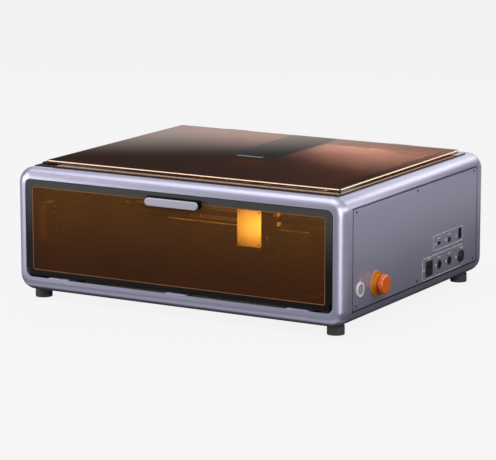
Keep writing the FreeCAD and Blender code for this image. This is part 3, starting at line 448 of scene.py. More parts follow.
def within(tree, place, low, high):
    """One inside the rectangle from low to high, in plan, and nought outside it."""
    parts = tree.nodes.new("ShaderNodeSeparateXYZ")
    wire(tree, parts.inputs[0], place)
    masks = []
    for axis in range(2):
        masks.append(maths(tree, "GREATER_THAN", parts.outputs[axis], low[axis]))
        masks.append(maths(tree, "LESS_THAN", parts.outputs[axis], high[axis]))
    inside = masks[0]
    for mask in masks[1:]:
        inside = maths(tree, "MULTIPLY", inside, mask)
    return inside


def lid_amber(s):
    """The amber sheet of the lid, with the dark band printed on it and a short white mark."""
    low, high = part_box("lid_strip")
    # The sheet darkens towards the front and pales towards the rear: painted reflection on one
    # amber tint
    values = {"Start_Color": solid(s.lid_front_painted_shade), "End_Color": solid(s.lid_rear_painted_reflection),
              "Direction": (0.30, 1, 0), "Start": -0.03, "End": 0.29}
    material = amber_sheet("lid_amber", values, 0.74, 0.04, (0.50, 0.32, 0.14))
    tree = material.node_tree
    shader = principled(material)
    colour = shader.inputs["Base Color"].links[0].from_socket
    place = object_place(tree)
    band = within(tree, place, (low.x, low.y), (high.x, high.y))
    mark_half, mark_front, mark_back = 0.0230, 0.0010, 0.0100
    mark = within(tree, place, (-mark_half, low.y + mark_front), (mark_half, low.y + mark_back))
    colour = blended(tree, band, colour, solid(s.lid_band))
    wire(tree, shader.inputs["Base Color"], blended(tree, mark, colour, solid(LIT_WHITE)))
    return material


def lid_layer(s):
    low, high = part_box("lid_frame")
    # Fades to twice its colour towards the rear: painted reflection, as on the sheet above
    values = {"Start_Color": solid(s.lid_layer), "End_Color": solid([c * 2 for c in s.lid_layer]),
              "Direction": (0, 1, 0), "Start": low.y, "End": high.y}
    return amber_sheet("lid_layer_amber", values, 0.45, 0.12, (0.50, 0.32, 0.16))


def sheet_edge(name, colour, glow, tone):
    """The edge of a laser-cut sheet, with fine lines across it; where glow is set, it gives out its
    own colour as a painted highlight.
    """
    material, tree, shader = new_material(name, coat=0.8, coat_roughness=0.08)
    node = group_node(tree, "Brushed", Color=solid(colour), Stretch=(120, 120, 30),
                      Tone=tone, Roughness=0.25, Spread=0.1, Bump=0.1)
    join_surface(tree, shader, node)
    glow_with(tree, shader, node, glow)
    return material


def bracket_painted_light(s):
    """Brackets of the belts: the bare-metal colour on the left wall is a painted highlight, fading
    to the gantry's black towards the right as painted shade.
    """
    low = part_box("idler_brackets")[0]
    material, tree, shader = new_material("bracket_painted_light", metallic=0.5)
    fade = group_node(tree, "Fade", Start_Color=solid(s.bare), End_Color=solid(s.gantry),
                      Direction=(1, 0, 0), Start=low.x + 0.010, End=low.x + 0.018)
    grain_over(tree, shader, fade.outputs["Color"], 0.1, 700.0, 0.45, 0.1, 0.05)
    return material


def grille_painted_highlights(s):
    """Black slats in a frame whose left post and cross bar take the bare-metal colour as painted
    highlights.
    """
    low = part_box("exhaust_grille")[0]
    material, tree, shader = new_material("grille_painted_highlights")
    parts = tree.nodes.new("ShaderNodeSeparateXYZ")
    wire(tree, parts.inputs[0], object_place(tree))
    post_width, bar_height, bar_half = 0.0041, 0.051, 0.0021
    post = maths(tree, "LESS_THAN", parts.outputs["X"], low.x + post_width)
    above = maths(tree, "ABSOLUTE", maths(tree, "SUBTRACT", parts.outputs["Z"], bar_height))
    bar = maths(tree, "LESS_THAN", above, bar_half)
    # The post and bar masks mark the painted highlights
    bright = maths(tree, "MAXIMUM", post, bar)
    colour = blended(tree, bright, solid(s.gantry), solid(s.bare))
    grain_over(tree, shader, colour, 0.1, 800.0, 0.6, 0.08, 0.05)
    return material


def lamp_diffuser(s):
    material, tree, shader = new_material("light_diffuser")
    node = grain_over(tree, shader, solid(DIFFUSER_WHITE), 0.04, 500.0, 0.45, 0.05, 0.05)
    glow_with(tree, shader, node, 0.8)
    return material


def board_green(s):
    """Solder mask with pale tracks showing through in a grid."""
    material, tree, shader = new_material("board_green", coat=0.6, coat_roughness=0.2)
    tracks = tree.nodes.new("ShaderNodeTexBrick")
    wire(tree, tracks.inputs["Vector"], scaled(tree, object_place(tree), 90.0))
    tracks.inputs["Color1"].default_value = solid(s.board)
    tracks.inputs["Color2"].default_value = solid([c * 0.8 for c in s.board])
    tracks.inputs["Mortar"].default_value = solid([c * 1.7 for c in s.board])
    grain_over(tree, shader, tracks.outputs["Color"], 0.1, 400.0, 0.3, 0.1, 0.05)
    return material


# colour, tone, scale, roughness, spread, bump, and dust or shader values
GRAINED = {
    "ring_white": ("ring", 0.06, 900.0, 0.30, 0.05, 0.05, {"coat": 0.4}),
    "inner_black": ("inner", 0.25, 500.0, 0.62, 0.10, 0.30, {"dust": 0.10}),
    "screw_steel": ("screw", 0.20, 900.0, 0.34, 0.10, 0.10, {"metallic": 0.85}),
    "foot_rubber": ("rubber", 0.25, 500.0, 0.72, 0.12, 0.40, {}),
    "black_plastic": ("plastic", 0.20, 900.0, 0.48, 0.10, 0.25, {}),
    "bed_aluminium": ("bed", 0.20, 400.0, 0.45, 0.12, 0.10, {"metallic": 0.8, "dust": 0.15}),
    "motor_black": ("motor", 0.15, 800.0, 0.40, 0.08, 0.12, {"metallic": 0.4}),
    "gantry_black": ("gantry", 0.15, 1100.0, 0.36, 0.08, 0.08, {"metallic": 0.7}),
    "button_grey": ("button", 0.08, 900.0, 0.35, 0.06, 0.06, {"metallic": 0.5}),
    "estop_yellow": ("yellow", 0.08, 700.0, 0.34, 0.05, 0.05, {"coat": 0.4}),
    "estop_orange": ("orange", 0.08, 700.0, 0.30, 0.05, 0.05, {"coat": 0.5}),
    "print_white": ("print_white", 0.10, 1200.0, 0.55, 0.05, 0.05, {}),
    "lens_glass": ((0.012, 0.016, 0.030), 0.3, 300.0, 0.06, 0.02, 0.01, {"coat": 1.0}),
    "rim_amber": ((0.26, 0.085, 0.016), 0.6, 60.0, 0.30, 0.05, 0.05, {"coat": 0.5}),
    "light_plastic": ((0.55, 0.53, 0.48), 0.06, 900.0, 0.45, 0.05, 0.08, {}),
}
# colour, stretch, tone, roughness, spread, bump
BRUSHED = {
    "bare_metal": ("bare", ALONG_X, 0.10, 0.34, 0.10, 0.05),
    "bed_steel": ("bed", ALONG_Y, 0.25, 0.42, 0.15, 0.10),
    "rail_steel": ("steel", ALONG_X, 0.12, 0.24, 0.10, 0.05),
    "pulley_metal": ("pulley", ALONG_Z, 0.1, 0.3, 0.1, 0.1),
    "head_silver": ("head", ALONG_Z, 0.05, 0.45, 0.08, 0.04),
    "nozzle_brass": ("brass", ALONG_Z, 0.1, 0.25, 0.1, 0.1),
    "button_chrome": ("chrome", ALONG_X, 0.05, 0.20, 0.05, 0.02),
    "contact_gold": ((0.80, 0.58, 0.25), ALONG_X, 0.08, 0.25, 0.05, 0.05),
}
# colour, roughness
MATT = {
    "matt_black": ((0.003, 0.003, 0.003), FLAT_ROUGH),
    "deck_black": ("deck", 0.6),
    "belt_rubber": ("belt", FLAT_ROUGH),
}
OWN_MAKERS = {
    "case_paint": case_paint,
    "door_black": door_black,
    "window_amber": window_amber,
    "lid_amber": lid_amber,
    "lid_layer": lid_layer,
    "cut_edge": lambda s: sheet_edge("cut_edge", s.edge_painted_highlight, 0.60, 0.35),
    "cut_edge_low": lambda s: sheet_edge("cut_edge_low", s.edge_brown, 0.0, 0.25),
    "bracket_painted_light": bracket_painted_light,
    "handle_silver": lambda s: brushed_paint("handle_silver", s.handle),
    "light_diffuser": lamp_diffuser,
    "board_green": board_green,
    "grille_black": grille_painted_highlights,
}


def shade(settings, colour):
    """A colour given as it is, or by the name of its setting."""
    return getattr(settings, colour) if isinstance(colour, str) else colour


def made_finish(name, settings):
    if name in OWN_MAKERS:
        return OWN_MAKERS[name](settings)
    if name in GRAINED:
        colour, *values, extras = GRAINED[name]
        return grained(name, shade(settings, colour), *values, **extras)
    maker, table = (brushed, BRUSHED) if name in BRUSHED else (matt, MATT)
    colour, *values = table[name]
    return maker(name, shade(settings, colour), *values)


def finish(name):
    """The finished material of that name, made at its first use."""
    made = bpy.data.materials.get("finish " + name)
    if made is None:
        made = made_finish(name, bpy.context.scene.cutter_finish)
        made.name = "finish " + name
    return made


SPECIAL_FINISH = {
    "door_window": "window_amber", "lid_panel": "lid_amber", "lid_frame": "lid_layer",
    # The handle's block takes the darkest matt black: partly the pull's black body, partly painted
    # shadow
    "door_handle": "handle_silver", "handle_block": "matt_black", "x_rail": "gantry_black",
    # The door's hinge brackets take the paler handle paint so they read light in the shade of the
    # gap: painted light
    "idler_brackets": "bracket_painted_light", "door_hinge_brackets": "handle_silver",
    "power_button_bezel": "ring_white",
}


# ---------------------------------------------------------------- modelling helpers
def deselect():
    if bpy.context.object and bpy.context.object.mode != "OBJECT":
        bpy.ops.object.mode_set(mode="OBJECT")
    bpy.ops.object.select_all(action="DESELECT")


def choose(piece):
    """Makes the piece the only one selected, and the active one."""
    deselect()
    piece.select_set(True)
    bpy.context.view_layer.objects.active = piece


def edit(piece, kind="FACE"):
    choose(piece)
    bpy.ops.object.mode_set(mode="EDIT")
    bpy.ops.mesh.select_mode(type=kind)


def leave_edit():
    bpy.ops.object.mode_set(mode="OBJECT")


def settle(piece):
    """Applies the piece's place to its mesh, so that its object sits at the origin."""
    choose(piece)
    bpy.ops.object.transform_apply(location=True, rotation=True, scale=True)
    return piece


def recalculated(piece):
    edit(piece)
    bpy.ops.mesh.select_all(action="SELECT")
    bpy.ops.mesh.remove_doubles(threshold=WELD)
    bpy.ops.mesh.normals_make_consistent(inside=False)
    leave_edit()
    return piece


def block(name, low, high, bevel=0.0, segments=2):
    """A box between two corners with rounded edges."""
    deselect()
    low, high = Vector(low), Vector(high)
    bpy.ops.mesh.primitive_cube_add(size=1, location=(low + high) / 2, scale=high - low)
    piece = bpy.context.object
    piece.name = name
    settle(piece)
    if bevel:
        edit(piece, "EDGE")
        bpy.ops.mesh.select_all(action="SELECT")
        bpy.ops.mesh.bevel(offset=bevel, segments=segments, affect="EDGES")
        leave_edit()
    return piece


TURN_TO = {
    "x": Matrix.Rotation(math.radians(90), 4, "Y"),
    "-x": Matrix.Rotation(math.radians(-90), 4, "Y"),
    "y": Matrix.Rotation(math.radians(-90), 4, "X"),
    "-y": Matrix.Rotation(math.radians(90), 4, "X"),
    "z": Matrix.Identity(4),
    "-z": Matrix.Rotation(math.radians(180), 4, "X"),
}


def turned(name, centre, axis, profile, sides=40):
    """A solid of revolution about an axis: the base disc is extruded and scaled along the
    profile, a list of (radius, height) from the base up."""
    deselect()
    radius, height = profile[0]
    bpy.ops.mesh.primitive_circle_add(
        vertices=sides, radius=radius, fill_type="NGON", location=(0, 0, height))
    piece = bpy.context.object
    piece.name = name
    settle(piece)
    edit(piece)
    bpy.ops.mesh.select_all(action="SELECT")
    for next_radius, next_height in profile[1:]:
        bpy.ops.mesh.extrude_region_move(
            TRANSFORM_OT_translate={"value": (0, 0, next_height - height)})
        ratio = max(next_radius, 0.00001) / radius
        bpy.ops.transform.resize(value=(ratio, ratio, 1), center_override=(0, 0, next_height))
        radius, height = max(next_radius, 0.00001), next_height
    leave_edit()
    piece.matrix_world = Matrix.Translation(Vector(centre)) @ TURN_TO[axis]
    settle(piece)
    return recalculated(piece)


def joined(name, pieces):
    deselect()
    for piece in pieces:
        piece.select_set(True)
    bpy.context.view_layer.objects.active = pieces[0]
    if len(pieces) > 1:
        bpy.ops.object.join()
    piece = bpy.context.view_layer.objects.active
    piece.name = name
    return piece


def repeated(piece, count, step):
    """The piece in a row of count, as one mesh."""
    row = piece.modifiers.new("Row", "ARRAY")
    row.count = count
    row.use_relative_offset = False
    row.use_constant_offset = True
    row.constant_offset_displace = Vector(step)
    choose(piece)
    bpy.ops.object.modifier_apply(modifier="Row")
    return piece


def select_everything(kind):
    bpy.ops.mesh.select_mode(type=kind)
    bpy.ops.mesh.select_all(action="SELECT")


def plate(name, place, corner, line, push):
    """A thin plate at a place, or its outline where line is set, pushed out by a vector."""
    deselect()
    bpy.ops.mesh.primitive_plane_add(size=1, location=(0, 0, 0))
    piece = bpy.context.object
    piece.name = name
    piece.matrix_world = place
    settle(piece)
    edit(piece, "VERT")
    bpy.ops.mesh.select_all(action="SELECT")
    if corner:
        bpy.ops.mesh.bevel(offset=corner, segments=6, affect="VERTICES")
    if line:
        select_everything("FACE")
        bpy.ops.mesh.inset(thickness=line)
        bpy.ops.mesh.delete(type="FACE")
    select_everything("FACE")
    bpy.ops.mesh.extrude_region_move(TRANSFORM_OT_translate={"value": push})
    leave_edit()
    return recalculated(piece)


def side_plate(name, centre, size, corner, height, line=0.0):
    """A thin plate or outline on the right side: centre (y, z), size (y, z), rounded corners."""
    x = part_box("side_panel_right")[1].x
    place = (Matrix.Translation((x, centre[0], centre[1])) @ TURN_TO["x"]
             @ Matrix.Diagonal((size[1], size[0], 1, 1)))
    return plate(name, place, corner, line, (height, 0, 0))


def dress(piece, material, body, smooth=30.0):
    """Gives a new piece its finish, its shading and the body that it moves with."""
    piece.data.materials.clear()
    piece.data.materials.append(finish(material))
    choose(piece)
    bpy.ops.object.shade_smooth_by_angle(angle=math.radians(smooth))
    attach(piece, body)
    return piece


def middle(node):
    low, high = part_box(node)
    return (low + high) / 2


# ---------------------------------------------------------------- operators
class CUTTER_OT_finishes(bpy.types.Operator):
    """Gives every carried-over part its finish"""
    bl_idname = "cutter.finishes"
    bl_label = "Finishes"

    def execute(self, context):
        for name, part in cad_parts.items():
            slot = part.data.materials[0].name.split(".")[0]
            made = finish(SPECIAL_FINISH.get(name, slot))
            for holder in part.material_slots:
                holder.link = "OBJECT"
                holder.material = made
        return {"FINISHED"}


class CUTTER_OT_port_marks(bpy.types.Operator):
    """Prints the outlines and small marks round the ports on the right side"""
    bl_idname = "cutter.port_marks"
    bl_label = "Port marks"

    def execute(self, context):
        s = context.scene.cutter_fitting
        line, proud = s.print_width, s.print_height
        outlines = [
            side_plate("m", (0.1075, 0.08975), (0.105, 0.0235), 0.003, proud, line),
            side_plate("m", (0.089, 0.05475), (0.142, 0.0345), 0.003, proud, line),
        ]
        dress(joined("port_outlines", outlines), "print_white", "casing")
        marks = []
        for y, z in ((0.0245, 0.0545), (0.0665, 0.0545), (0.1015, 0.0545), (0.1375, 0.0545)):
            marks.append(side_plate("m", (y, z), (0.0042, 0.0042), 0.0018, proud, line))
            marks.append(side_plate("m", (y, z), (0.0012, 0.0012), 0.0, proud))
        for y, z in ((0.0625, 0.0880), (0.1010, 0.0880), (0.1385, 0.0880)):
            marks.append(side_plate("m", (y, z), (0.0046, 0.0036), 0.0008, proud, line))
        labels = ((0.0756, 0.0955, 0.009), (0.1115, 0.0955, 0.007), (0.0768, 0.0655, 0.010),
                  (0.1122, 0.0655, 0.010), (0.1526, 0.0672, 0.008), (0.0412, 0.0692, 0.012))
        for y, z, wide in labels:
            marks.append(side_plate("m", (y, z), (wide, 0.0011), 0.0, proud))
        dress(joined("port_icons", marks), "print_white", "casing")
        y, z = middle("power_button_bezel").yz
        ticks = [side_plate("m", (y, z + 0.0140), (0.0052, 0.0010), 0.0, proud),
                 side_plate("m", (y, z + 0.0160), (0.0020, 0.0010), 0.0, proud)]
        dress(joined("power_tick", ticks), "print_white", "casing")
        return {"FINISHED"}


class CUTTER_OT_trim_lines(bpy.types.Operator):
    """Fills the seam round the right side panel, adds a pale strip on the beam as a painted
    highlight, and a black cap on the handle's block that is partly the pull's body and partly
    painted shadow
    """
    bl_idname = "cutter.trim_lines"
    bl_label = "Trim lines"

    def execute(self, context):
        low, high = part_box("side_panel_right")
        size, centre = (high - low).yz, (high + low).yz / 2
        seam = side_plate("panel_seam", centre, size, 0.003, 0.00006, 0.0013)
        dress(seam, "matt_black", "casing")
        # A pale strip along the beam's edge: a painted highlight
        edge = block("beam_highlight_strip", (-0.100, -0.09530, 0.11900), (0.170, -0.09450, 0.12020),
                     0.00008, 1)
        dress(edge, "light_plastic", "gantry")
        # The cap raises the handle's black block: partly the pull's black body, partly painted
        # shadow above the bar
        low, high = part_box("handle_block")
        cap = block("handle_cap_and_shadow", (low.x + 0.0040, low.y + 0.0001, high.z - 0.0030),
                    (high.x - 0.0005, high.y - 0.0001, high.z + 0.0017), 0.0010)
        dress(cap, "matt_black", "door")
        return {"FINISHED"}


class CUTTER_OT_button_face(bpy.types.Operator):
    """Puts a pale ring with a bar on the push button"""
    bl_idname = "cutter.button_face"
    bl_label = "Button face"

    def execute(self, context):
        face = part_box("power_button_cap")[1].x
        centre = Vector((face, *middle("power_button_cap").yz))
        parts = []
        ring_profile = [(0.0036, -0.0002), (0.0036, 0.00008), (0.0028, 0.00008), (0.0028, -0.0001)]
        parts.append(turned("m", centre, "x", ring_profile))
        reach = 0.00008
        parts.append(block("m", centre + Vector((-0.0002, -0.0004, 0.0006)),
                           centre + Vector((reach, 0.0004, 0.0046)), 0.00003, 1))
        dress(joined("power_mark", parts), "print_white", "power_button")
        return {"FINISHED"}


class CUTTER_OT_stop_marks(bpy.types.Operator):
    """Puts three small marks on the stop's mushroom and a seal ring under it"""
    bl_idname = "cutter.stop_marks"
    bl_label = "Stop marks"

    def execute(self, context):
        low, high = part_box("estop_head")
        y, z = middle("estop_head").yz
        radius = (high.z - low.z) / 2
        ribs = []
        for turn in range(3):
            angle = math.radians(90 + 120 * turn)
            arm = Vector((0, math.cos(angle), math.sin(angle))) * radius * 0.52
            spot = Vector((high.x - 0.0012, y, z)) + arm
            ribs.append(turned("m", spot, "x", [
                (0.0021, 0), (0.0021, 0.0009), (0.0017, 0.0011), (0.0008, 0.00115)], sides=3))
        dress(joined("stop_arrows", ribs), "estop_yellow", "estop_mushroom")
        base_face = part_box("estop_base")[1].x
        ring = turned("stop_seal", (base_face, y, z), "x", [
            (0.0128, -0.0004), (0.0128, 0.0001), (0.0122, 0.0003), (0.0112, 0.0003),
            (0.0106, 0.0001), (0.0106, -0.0003)])
        dress(ring, "estop_orange", "casing")
        return {"FINISHED"}


class CUTTER_OT_window_rim(bpy.types.Operator):
    """Runs a thin bright line round the edge of the door's window"""
    bl_idname = "cutter.window_rim"
    bl_label = "Window rim"

    def execute(self, context):
        width = context.scene.cutter_fitting.rim_width
        low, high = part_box("door_window")
        size, centre = high - low, (low + high) / 2
        place = (Matrix.Translation((centre.x, low.y, centre.z)) @ TURN_TO["-y"]
                 @ Matrix.Diagonal((size.x, size.z, 1, 1)))
        rim = plate("window_rim", place, SHEET_CORNER, width, (0, -0.00006, 0))
        dress(rim, "rim_amber", "door")
        return {"FINISHED"}


class CUTTER_OT_lid_edge(bpy.types.Operator):
    """Wraps the lid's sheet in its cut edge: the plain dark edge below, and above it a bright
    glowing band that is a painted highlight
    """
    bl_idname = "cutter.lid_edge"
    bl_label = "Lid edge"

    def execute(self, context):
        low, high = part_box("lid_panel")
        bright_height, gap = 0.0018, 0.0001
        step = high.z - bright_height
        self.band("lid_cut_edge_low", "cut_edge_low", 0.0002, low.z + 0.0002, step)
        self.band("lid_cut_edge", "cut_edge", 0.0004, step + gap, high.z - 0.0005)
        return {"FINISHED"}

    def band(self, name, material, proud, bottom, top):
        low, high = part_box("lid_panel")
        size, centre = high - low, (low + high) / 2
        place = (Matrix.Translation((centre.x, centre.y, bottom))
                 @ Matrix.Diagonal((size.x + 2 * proud, size.y + 2 * proud, 1, 1)))
        piece = plate(name, place, SHEET_CORNER, proud, (0, 0, top - bottom))
        dress(piece, material, "lid")


class CUTTER_OT_camera_lens(bpy.types.Operator):
    """Fits the lens, its ring and a pale front face to the lid's camera housing"""
    bl_idname = "cutter.camera_lens"
    bl_label = "Camera lens"

    def execute(self, context):
        low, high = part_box("camera_housing")
        centre = Vector((0, middle("camera_housing").y, low.z))
        ring = turned("camera_ring", centre, "-z", [
            (0.0095, -0.0004), (0.0095, 0.0006), (0.0088, 0.0012), (0.0064, 0.0012),
            (0.0058, 0.0004), (0.0058, -0.0003)])
        dress(ring, "black_plastic", "lid")
        lens = turned("camera_lens", centre, "-z", [
            (0.0057, -0.0030), (0.0057, 0.0000), (0.0046, 0.0006), (0.0030, 0.0010),
            (0.0012, 0.0012), (0.0002, 0.00122)])
        dress(lens, "lens_glass", "lid", smooth=60.0)
        face = block("camera_face", (low.x + 0.0015, low.y - 0.0005, low.z + 0.0015),
                     (high.x - 0.0015, low.y + 0.0001, high.z - 0.0020), 0.0002)
        dress(face, "light_plastic", "lid")
        return {"FINISHED"}


class CUTTER_OT_screws(bpy.types.Operator):
    """Replaces the plain panel screws with domed ones that have sunk sockets"""
    bl_idname = "cutter.screws"
    bl_label = "Panel screws"

    def execute(self, context):
        s = context.scene.cutter_fitting
        socket = s.screw_socket / 2
        head = [(0.0015, -0.0040), (0.0015, -0.0001), (0.0023, -0.0001), (0.0023, 0.0004),
                (0.0019, 0.00085), (0.0014, 0.00105), (socket, 0.00110), (socket, 0.0004)]
        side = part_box("side_panel_right")[1].x
        inset = 0.0012
        heights = (0.0415, 0.1808)
        rows = [(sign, y, z) for sign in (-1, 1) for y in (-0.199, 0.0, 0.199) for z in heights]
        pieces = []
        for sign, y, z in rows:
            axis = "x" if sign > 0 else "-x"
            spot = (sign * (side - inset), y, z)
            pieces.append(turned("m", spot, axis, head, sides=18))
        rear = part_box("rear_panel")[1].y
        for x in (-0.240, 0.0, 0.240):
            for z in (0.0425, 0.1775):
                pieces.append(turned("m", (x, rear - inset, z), "y", head, sides=18))
        screws = joined("case_screws", pieces)
        dress(screws, "screw_steel", "casing")
        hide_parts("panel_screws")
        return {"FINISHED"}


class CUTTER_OT_foot_ridges(bpy.types.Operator):
    """Rings each rubber foot with moulded ridges"""
    bl_idname = "cutter.foot_ridges"
    bl_label = "Foot ridges"

    def execute(self, context):
        high = context.scene.cutter_fitting.foot_ridge
        radius = 0.013
        low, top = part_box("feet")
        pieces = []
        for x in (low.x + radius, top.x - radius):
            for y in (low.y + radius, top.y - radius):
                for z in (0.0015, 0.0046, 0.0077, 0.0108):
                    pieces.append(turned("m", (x, y, z), "z", [
                        (radius - 0.0004, 0), (radius + 0.0001, 0.0002),
                        (radius + 0.00025, high / 2), (radius + 0.0001, high - 0.0002),
                        (radius - 0.0004, high)], sides=48))
        dress(joined("foot_ridges", pieces), "foot_rubber", "casing")
        return {"FINISHED"}


class CUTTER_OT_belt_teeth(bpy.types.Operator):
    """Cuts the rows of teeth inside the three belts"""
    bl_idname = "cutter.belt_teeth"
    bl_label = "Belt teeth"

    def execute(self, context):
        pitch = context.scene.cutter_fitting.tooth_pitch
        thick, tooth, half, margin = 0.0012, 0.0006, 0.0005, 0.0125
        low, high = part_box("y_belts")
        width = 0.0048
        rows = []
        count = int((high.y - low.y - 2 * margin) / pitch)
        for x in (low.x, high.x - width):
            for z, up in ((low.z + thick, 1), (high.z - thick, -1)):
                first = Vector((x + 0.0001, low.y + margin, z))
                last = first + Vector((width - 0.0002, 2 * half, up * tooth))
                rows.append(repeated(self.tooth(first, last), count, (0, pitch, 0)))
        dress(joined("y_belt_teeth", rows), "belt_rubber", "casing")
        low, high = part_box("x_belt")
        count = int((high.x - low.x - 2 * margin) / pitch)
        rows = []
        for y, up in ((low.y + thick, 1), (high.y - thick, -1)):
            first = Vector((low.x + margin, y, low.z + 0.0001))
            last = first + Vector((2 * half, up * tooth, high.z - low.z - 0.0002))
            rows.append(repeated(self.tooth(first, last), count, (pitch, 0, 0)))
        dress(joined("x_belt_teeth", rows), "belt_rubber", "gantry")
        return {"FINISHED"}

    def tooth(self, first, last):
        return block("m", Vector(map(min, first, last)), Vector(map(max, first, last)))


class CUTTER_OT_motor_fittings(bpy.types.Operator):
    """Adds end screws and a connector to each motor"""
    bl_idname = "cutter.motor_fittings"
    bl_label = "Motor fittings"

    def execute(self, context):
        head = [(0.0026, -0.0003), (0.0026, 0.0008), (0.0021, 0.0013), (0.0012, 0.0013),
                (0.0012, 0.0006)]
        reach = 0.0155
        for node, body, axis, name in (("y_motor", "casing", "-x", "y"),
                                       ("x_motor", "gantry", "-z", "x")):
            low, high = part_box(node)
            centre = (low + high) / 2
            screws = []
            for a in (-reach, reach):
                for b in (-reach, reach):
                    if axis == "-x":
                        spot = (low.x, centre.y + a, centre.z + b)
                    else:
                        spot = (centre.x + a, centre.y + b, low.z)
                    screws.append(turned("m", spot, axis, head, sides=18))
            dress(joined(name + "_motor_screws", screws), "screw_steel", body)
            if axis == "-z":
                plug = block("m", (centre.x - 0.008, high.y - 0.0002, low.z + 0.003),
                             (centre.x + 0.008, high.y + 0.004, low.z + 0.010), 0.0005)
            else:
                plug = block("m", (high.x - 0.012, centre.y - 0.008, low.z - 0.004),
                             (high.x - 0.005, centre.y + 0.008, low.z + 0.0002), 0.0005)
            dress(joined(name + "_motor_plug", [plug]), "light_plastic", body)
        return {"FINISHED"}


class CUTTER_OT_board_parts(bpy.types.Operator):
    """Stands chips and capacitors on the control board"""
    bl_idname = "cutter.board_parts"
    bl_label = "Board parts"

    def execute(self, context):
        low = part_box("control_board")[0]
        face = low.x + 0.0034
        chips, cans = [], []
        for y, z, wide in ((0.030, 0.075, 0.012), (0.060, 0.085, 0.010), (0.095, 0.060, 0.014)):
            corners = (face, low.y + y, z), (face + 0.0016, low.y + y + wide, z + wide)
            chips.append(block("m", *corners, 0.0002, 1))
        for y in (0.020, 0.032, 0.110, 0.122):
            cans.append(turned("m", (face, low.y + y, 0.0450), "x", [
                (0.0032, 0), (0.0032, 0.0006), (0.0028, 0.0009), (0.0032, 0.0012),
                (0.0032, 0.0046), (0.0028, 0.0050)], sides=20))
        dress(joined("board_chips", chips), "black_plastic", "casing")
        dress(joined("board_capacitors", cans), "pulley_metal", "casing")
        return {"FINISHED"}


class CUTTER_OT_lamp_chips(bpy.types.Operator):
    """Sets a row of small lamp chips in the light strip"""
    bl_idname = "cutter.lamp_chips"
    bl_label = "Lamp chips"

    def execute(self, context):
        count = context.scene.cutter_fitting.chips
        low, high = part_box("led_strip")
        y = (low.y + high.y) / 2
        step = (high.x - low.x) / count
        chip = block("m", (low.x + step / 2 - 0.0018, y - 0.0018, low.z - 0.0006),
                     (low.x + step / 2 + 0.0018, y + 0.0018, low.z + 0.0002), 0.0002, 1)
        row = repeated(chip, count, (step, 0, 0))
        dress(joined("lamp_chips", [row]), "print_white", "casing")
        return {"FINISHED"}


class CUTTER_OT_socket_contacts(bpy.types.Operator):
    """Puts gold pins inside the sockets and a slot in the lock"""
    bl_idname = "cutter.socket_contacts"
    bl_label = "Socket contacts"

    def execute(self, context):
        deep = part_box("sockets")[0].x + 0.002
        pins = []
        for y in (0.0768, 0.1122):
            for angle in range(30, 360, 60):
                a = math.radians(angle)
                spot = (deep, y + 0.0022 * math.cos(a), 0.054 + 0.0022 * math.sin(a))
                pins.append(turned("m", spot, "x", [
                    (0.0005, 0), (0.0005, 0.0052), (0.0003, 0.0058)], sides=10))
        dress(joined("socket_pins", pins), "contact_gold", "casing")
        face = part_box("key_barrel")[1].x
        centre = middle("key_barrel")
        slot = block("m", (face - 0.0003, centre.y - 0.0006, centre.z - 0.0026),
                     (face + 0.00006, centre.y + 0.0006, centre.z + 0.0026), 0.00002, 1)
        dress(joined("key_slot", [slot]), "black_plastic", "key_lock")
        return {"FINISHED"}


class CUTTER_OT_fan_guard(bpy.types.Operator):
    """Sets rings and arms of wire over the exhaust opening at the back"""
    bl_idname = "cutter.fan_guard"
    bl_label = "Fan guard"

    def execute(self, context):
        centre = middle("exhaust_fan_rotor")
        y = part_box("rear_panel")[1].y + 0.004
        wire_radius = 0.0009
        rings = []
        for radius in (0.008, 0.0175, 0.027):
            deselect()
            bpy.ops.mesh.primitive_torus_add(
                major_segments=56, minor_segments=8, major_radius=radius,
                minor_radius=wire_radius, location=(centre.x, y, centre.z),
                rotation=(math.radians(90), 0, 0))
            rings.append(settle(bpy.context.object))
        reach = 0.0356
        for turn in range(4):
            arm = turned("m", (0, 0, 0), "x", [
                (wire_radius * 0.7, 0.007), (wire_radius, 0.0075), (wire_radius, reach - 0.0005),
                (wire_radius * 0.7, reach)], sides=10)
            arm.matrix_world = (Matrix.Translation((centre.x, y, centre.z))
                                @ Matrix.Rotation(math.radians(45 + 90 * turn), 4, "Y"))
            rings.append(settle(arm))
        dress(joined("fan_guard", rings), "bare_metal", "casing")
        return {"FINISHED"}


class CUTTER_OT_head_details(bpy.types.Operator):
    """Adds cover screws and a focus knob to the laser head"""
    bl_idname = "cutter.head_details"
    bl_label = "Head details"

    def execute(self, context):
        low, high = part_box("head_cover")
        screws = []
        for x in (low.x + 0.0035, high.x - 0.0035):
            for z in (low.z + 0.0035, high.z - 0.0035):
                screws.append(turned("m", (x, low.y, z), "-y", [
                    (0.0014, -0.0005), (0.0014, 0.0001), (0.0010, 0.0003), (0.0006, 0.0003),
                    (0.0006, 0.0000)], sides=14))
        dress(joined("head_screws", screws), "screw_steel", "head")
        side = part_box("laser_module")[1].x
        knob = turned("focus_knob", (side, middle("laser_module").y, 0.112), "x", [
            (0.0050, -0.0003), (0.0050, 0.0012), (0.0045, 0.0017), (0.0045, 0.0035),
            (0.0038, 0.0040), (0.0016, 0.0041)], sides=28)
        dress(knob, "pulley_metal", "head")
        return {"FINISHED"}


# ---------------------------------------------------------------- stage
def softbox(name, place, target, width, height, power, colour=(1, 1, 1)):
    deselect()
    bpy.ops.object.light_add(type="AREA", location=place)
    lamp = bpy.context.object
    lamp.name = name
    lamp.data.shape = "RECTANGLE"
    lamp.data.size = width
    lamp.data.size_y = height
    lamp.data.energy = power
    lamp.data.color = colour
    aim = Vector(target) - Vector(place)
    lamp.rotation_euler = aim.to_track_quat("-Z", "Y").to_euler()
    lamp.visible_camera = False
    lamp.visible_transmission = False
    return lamp


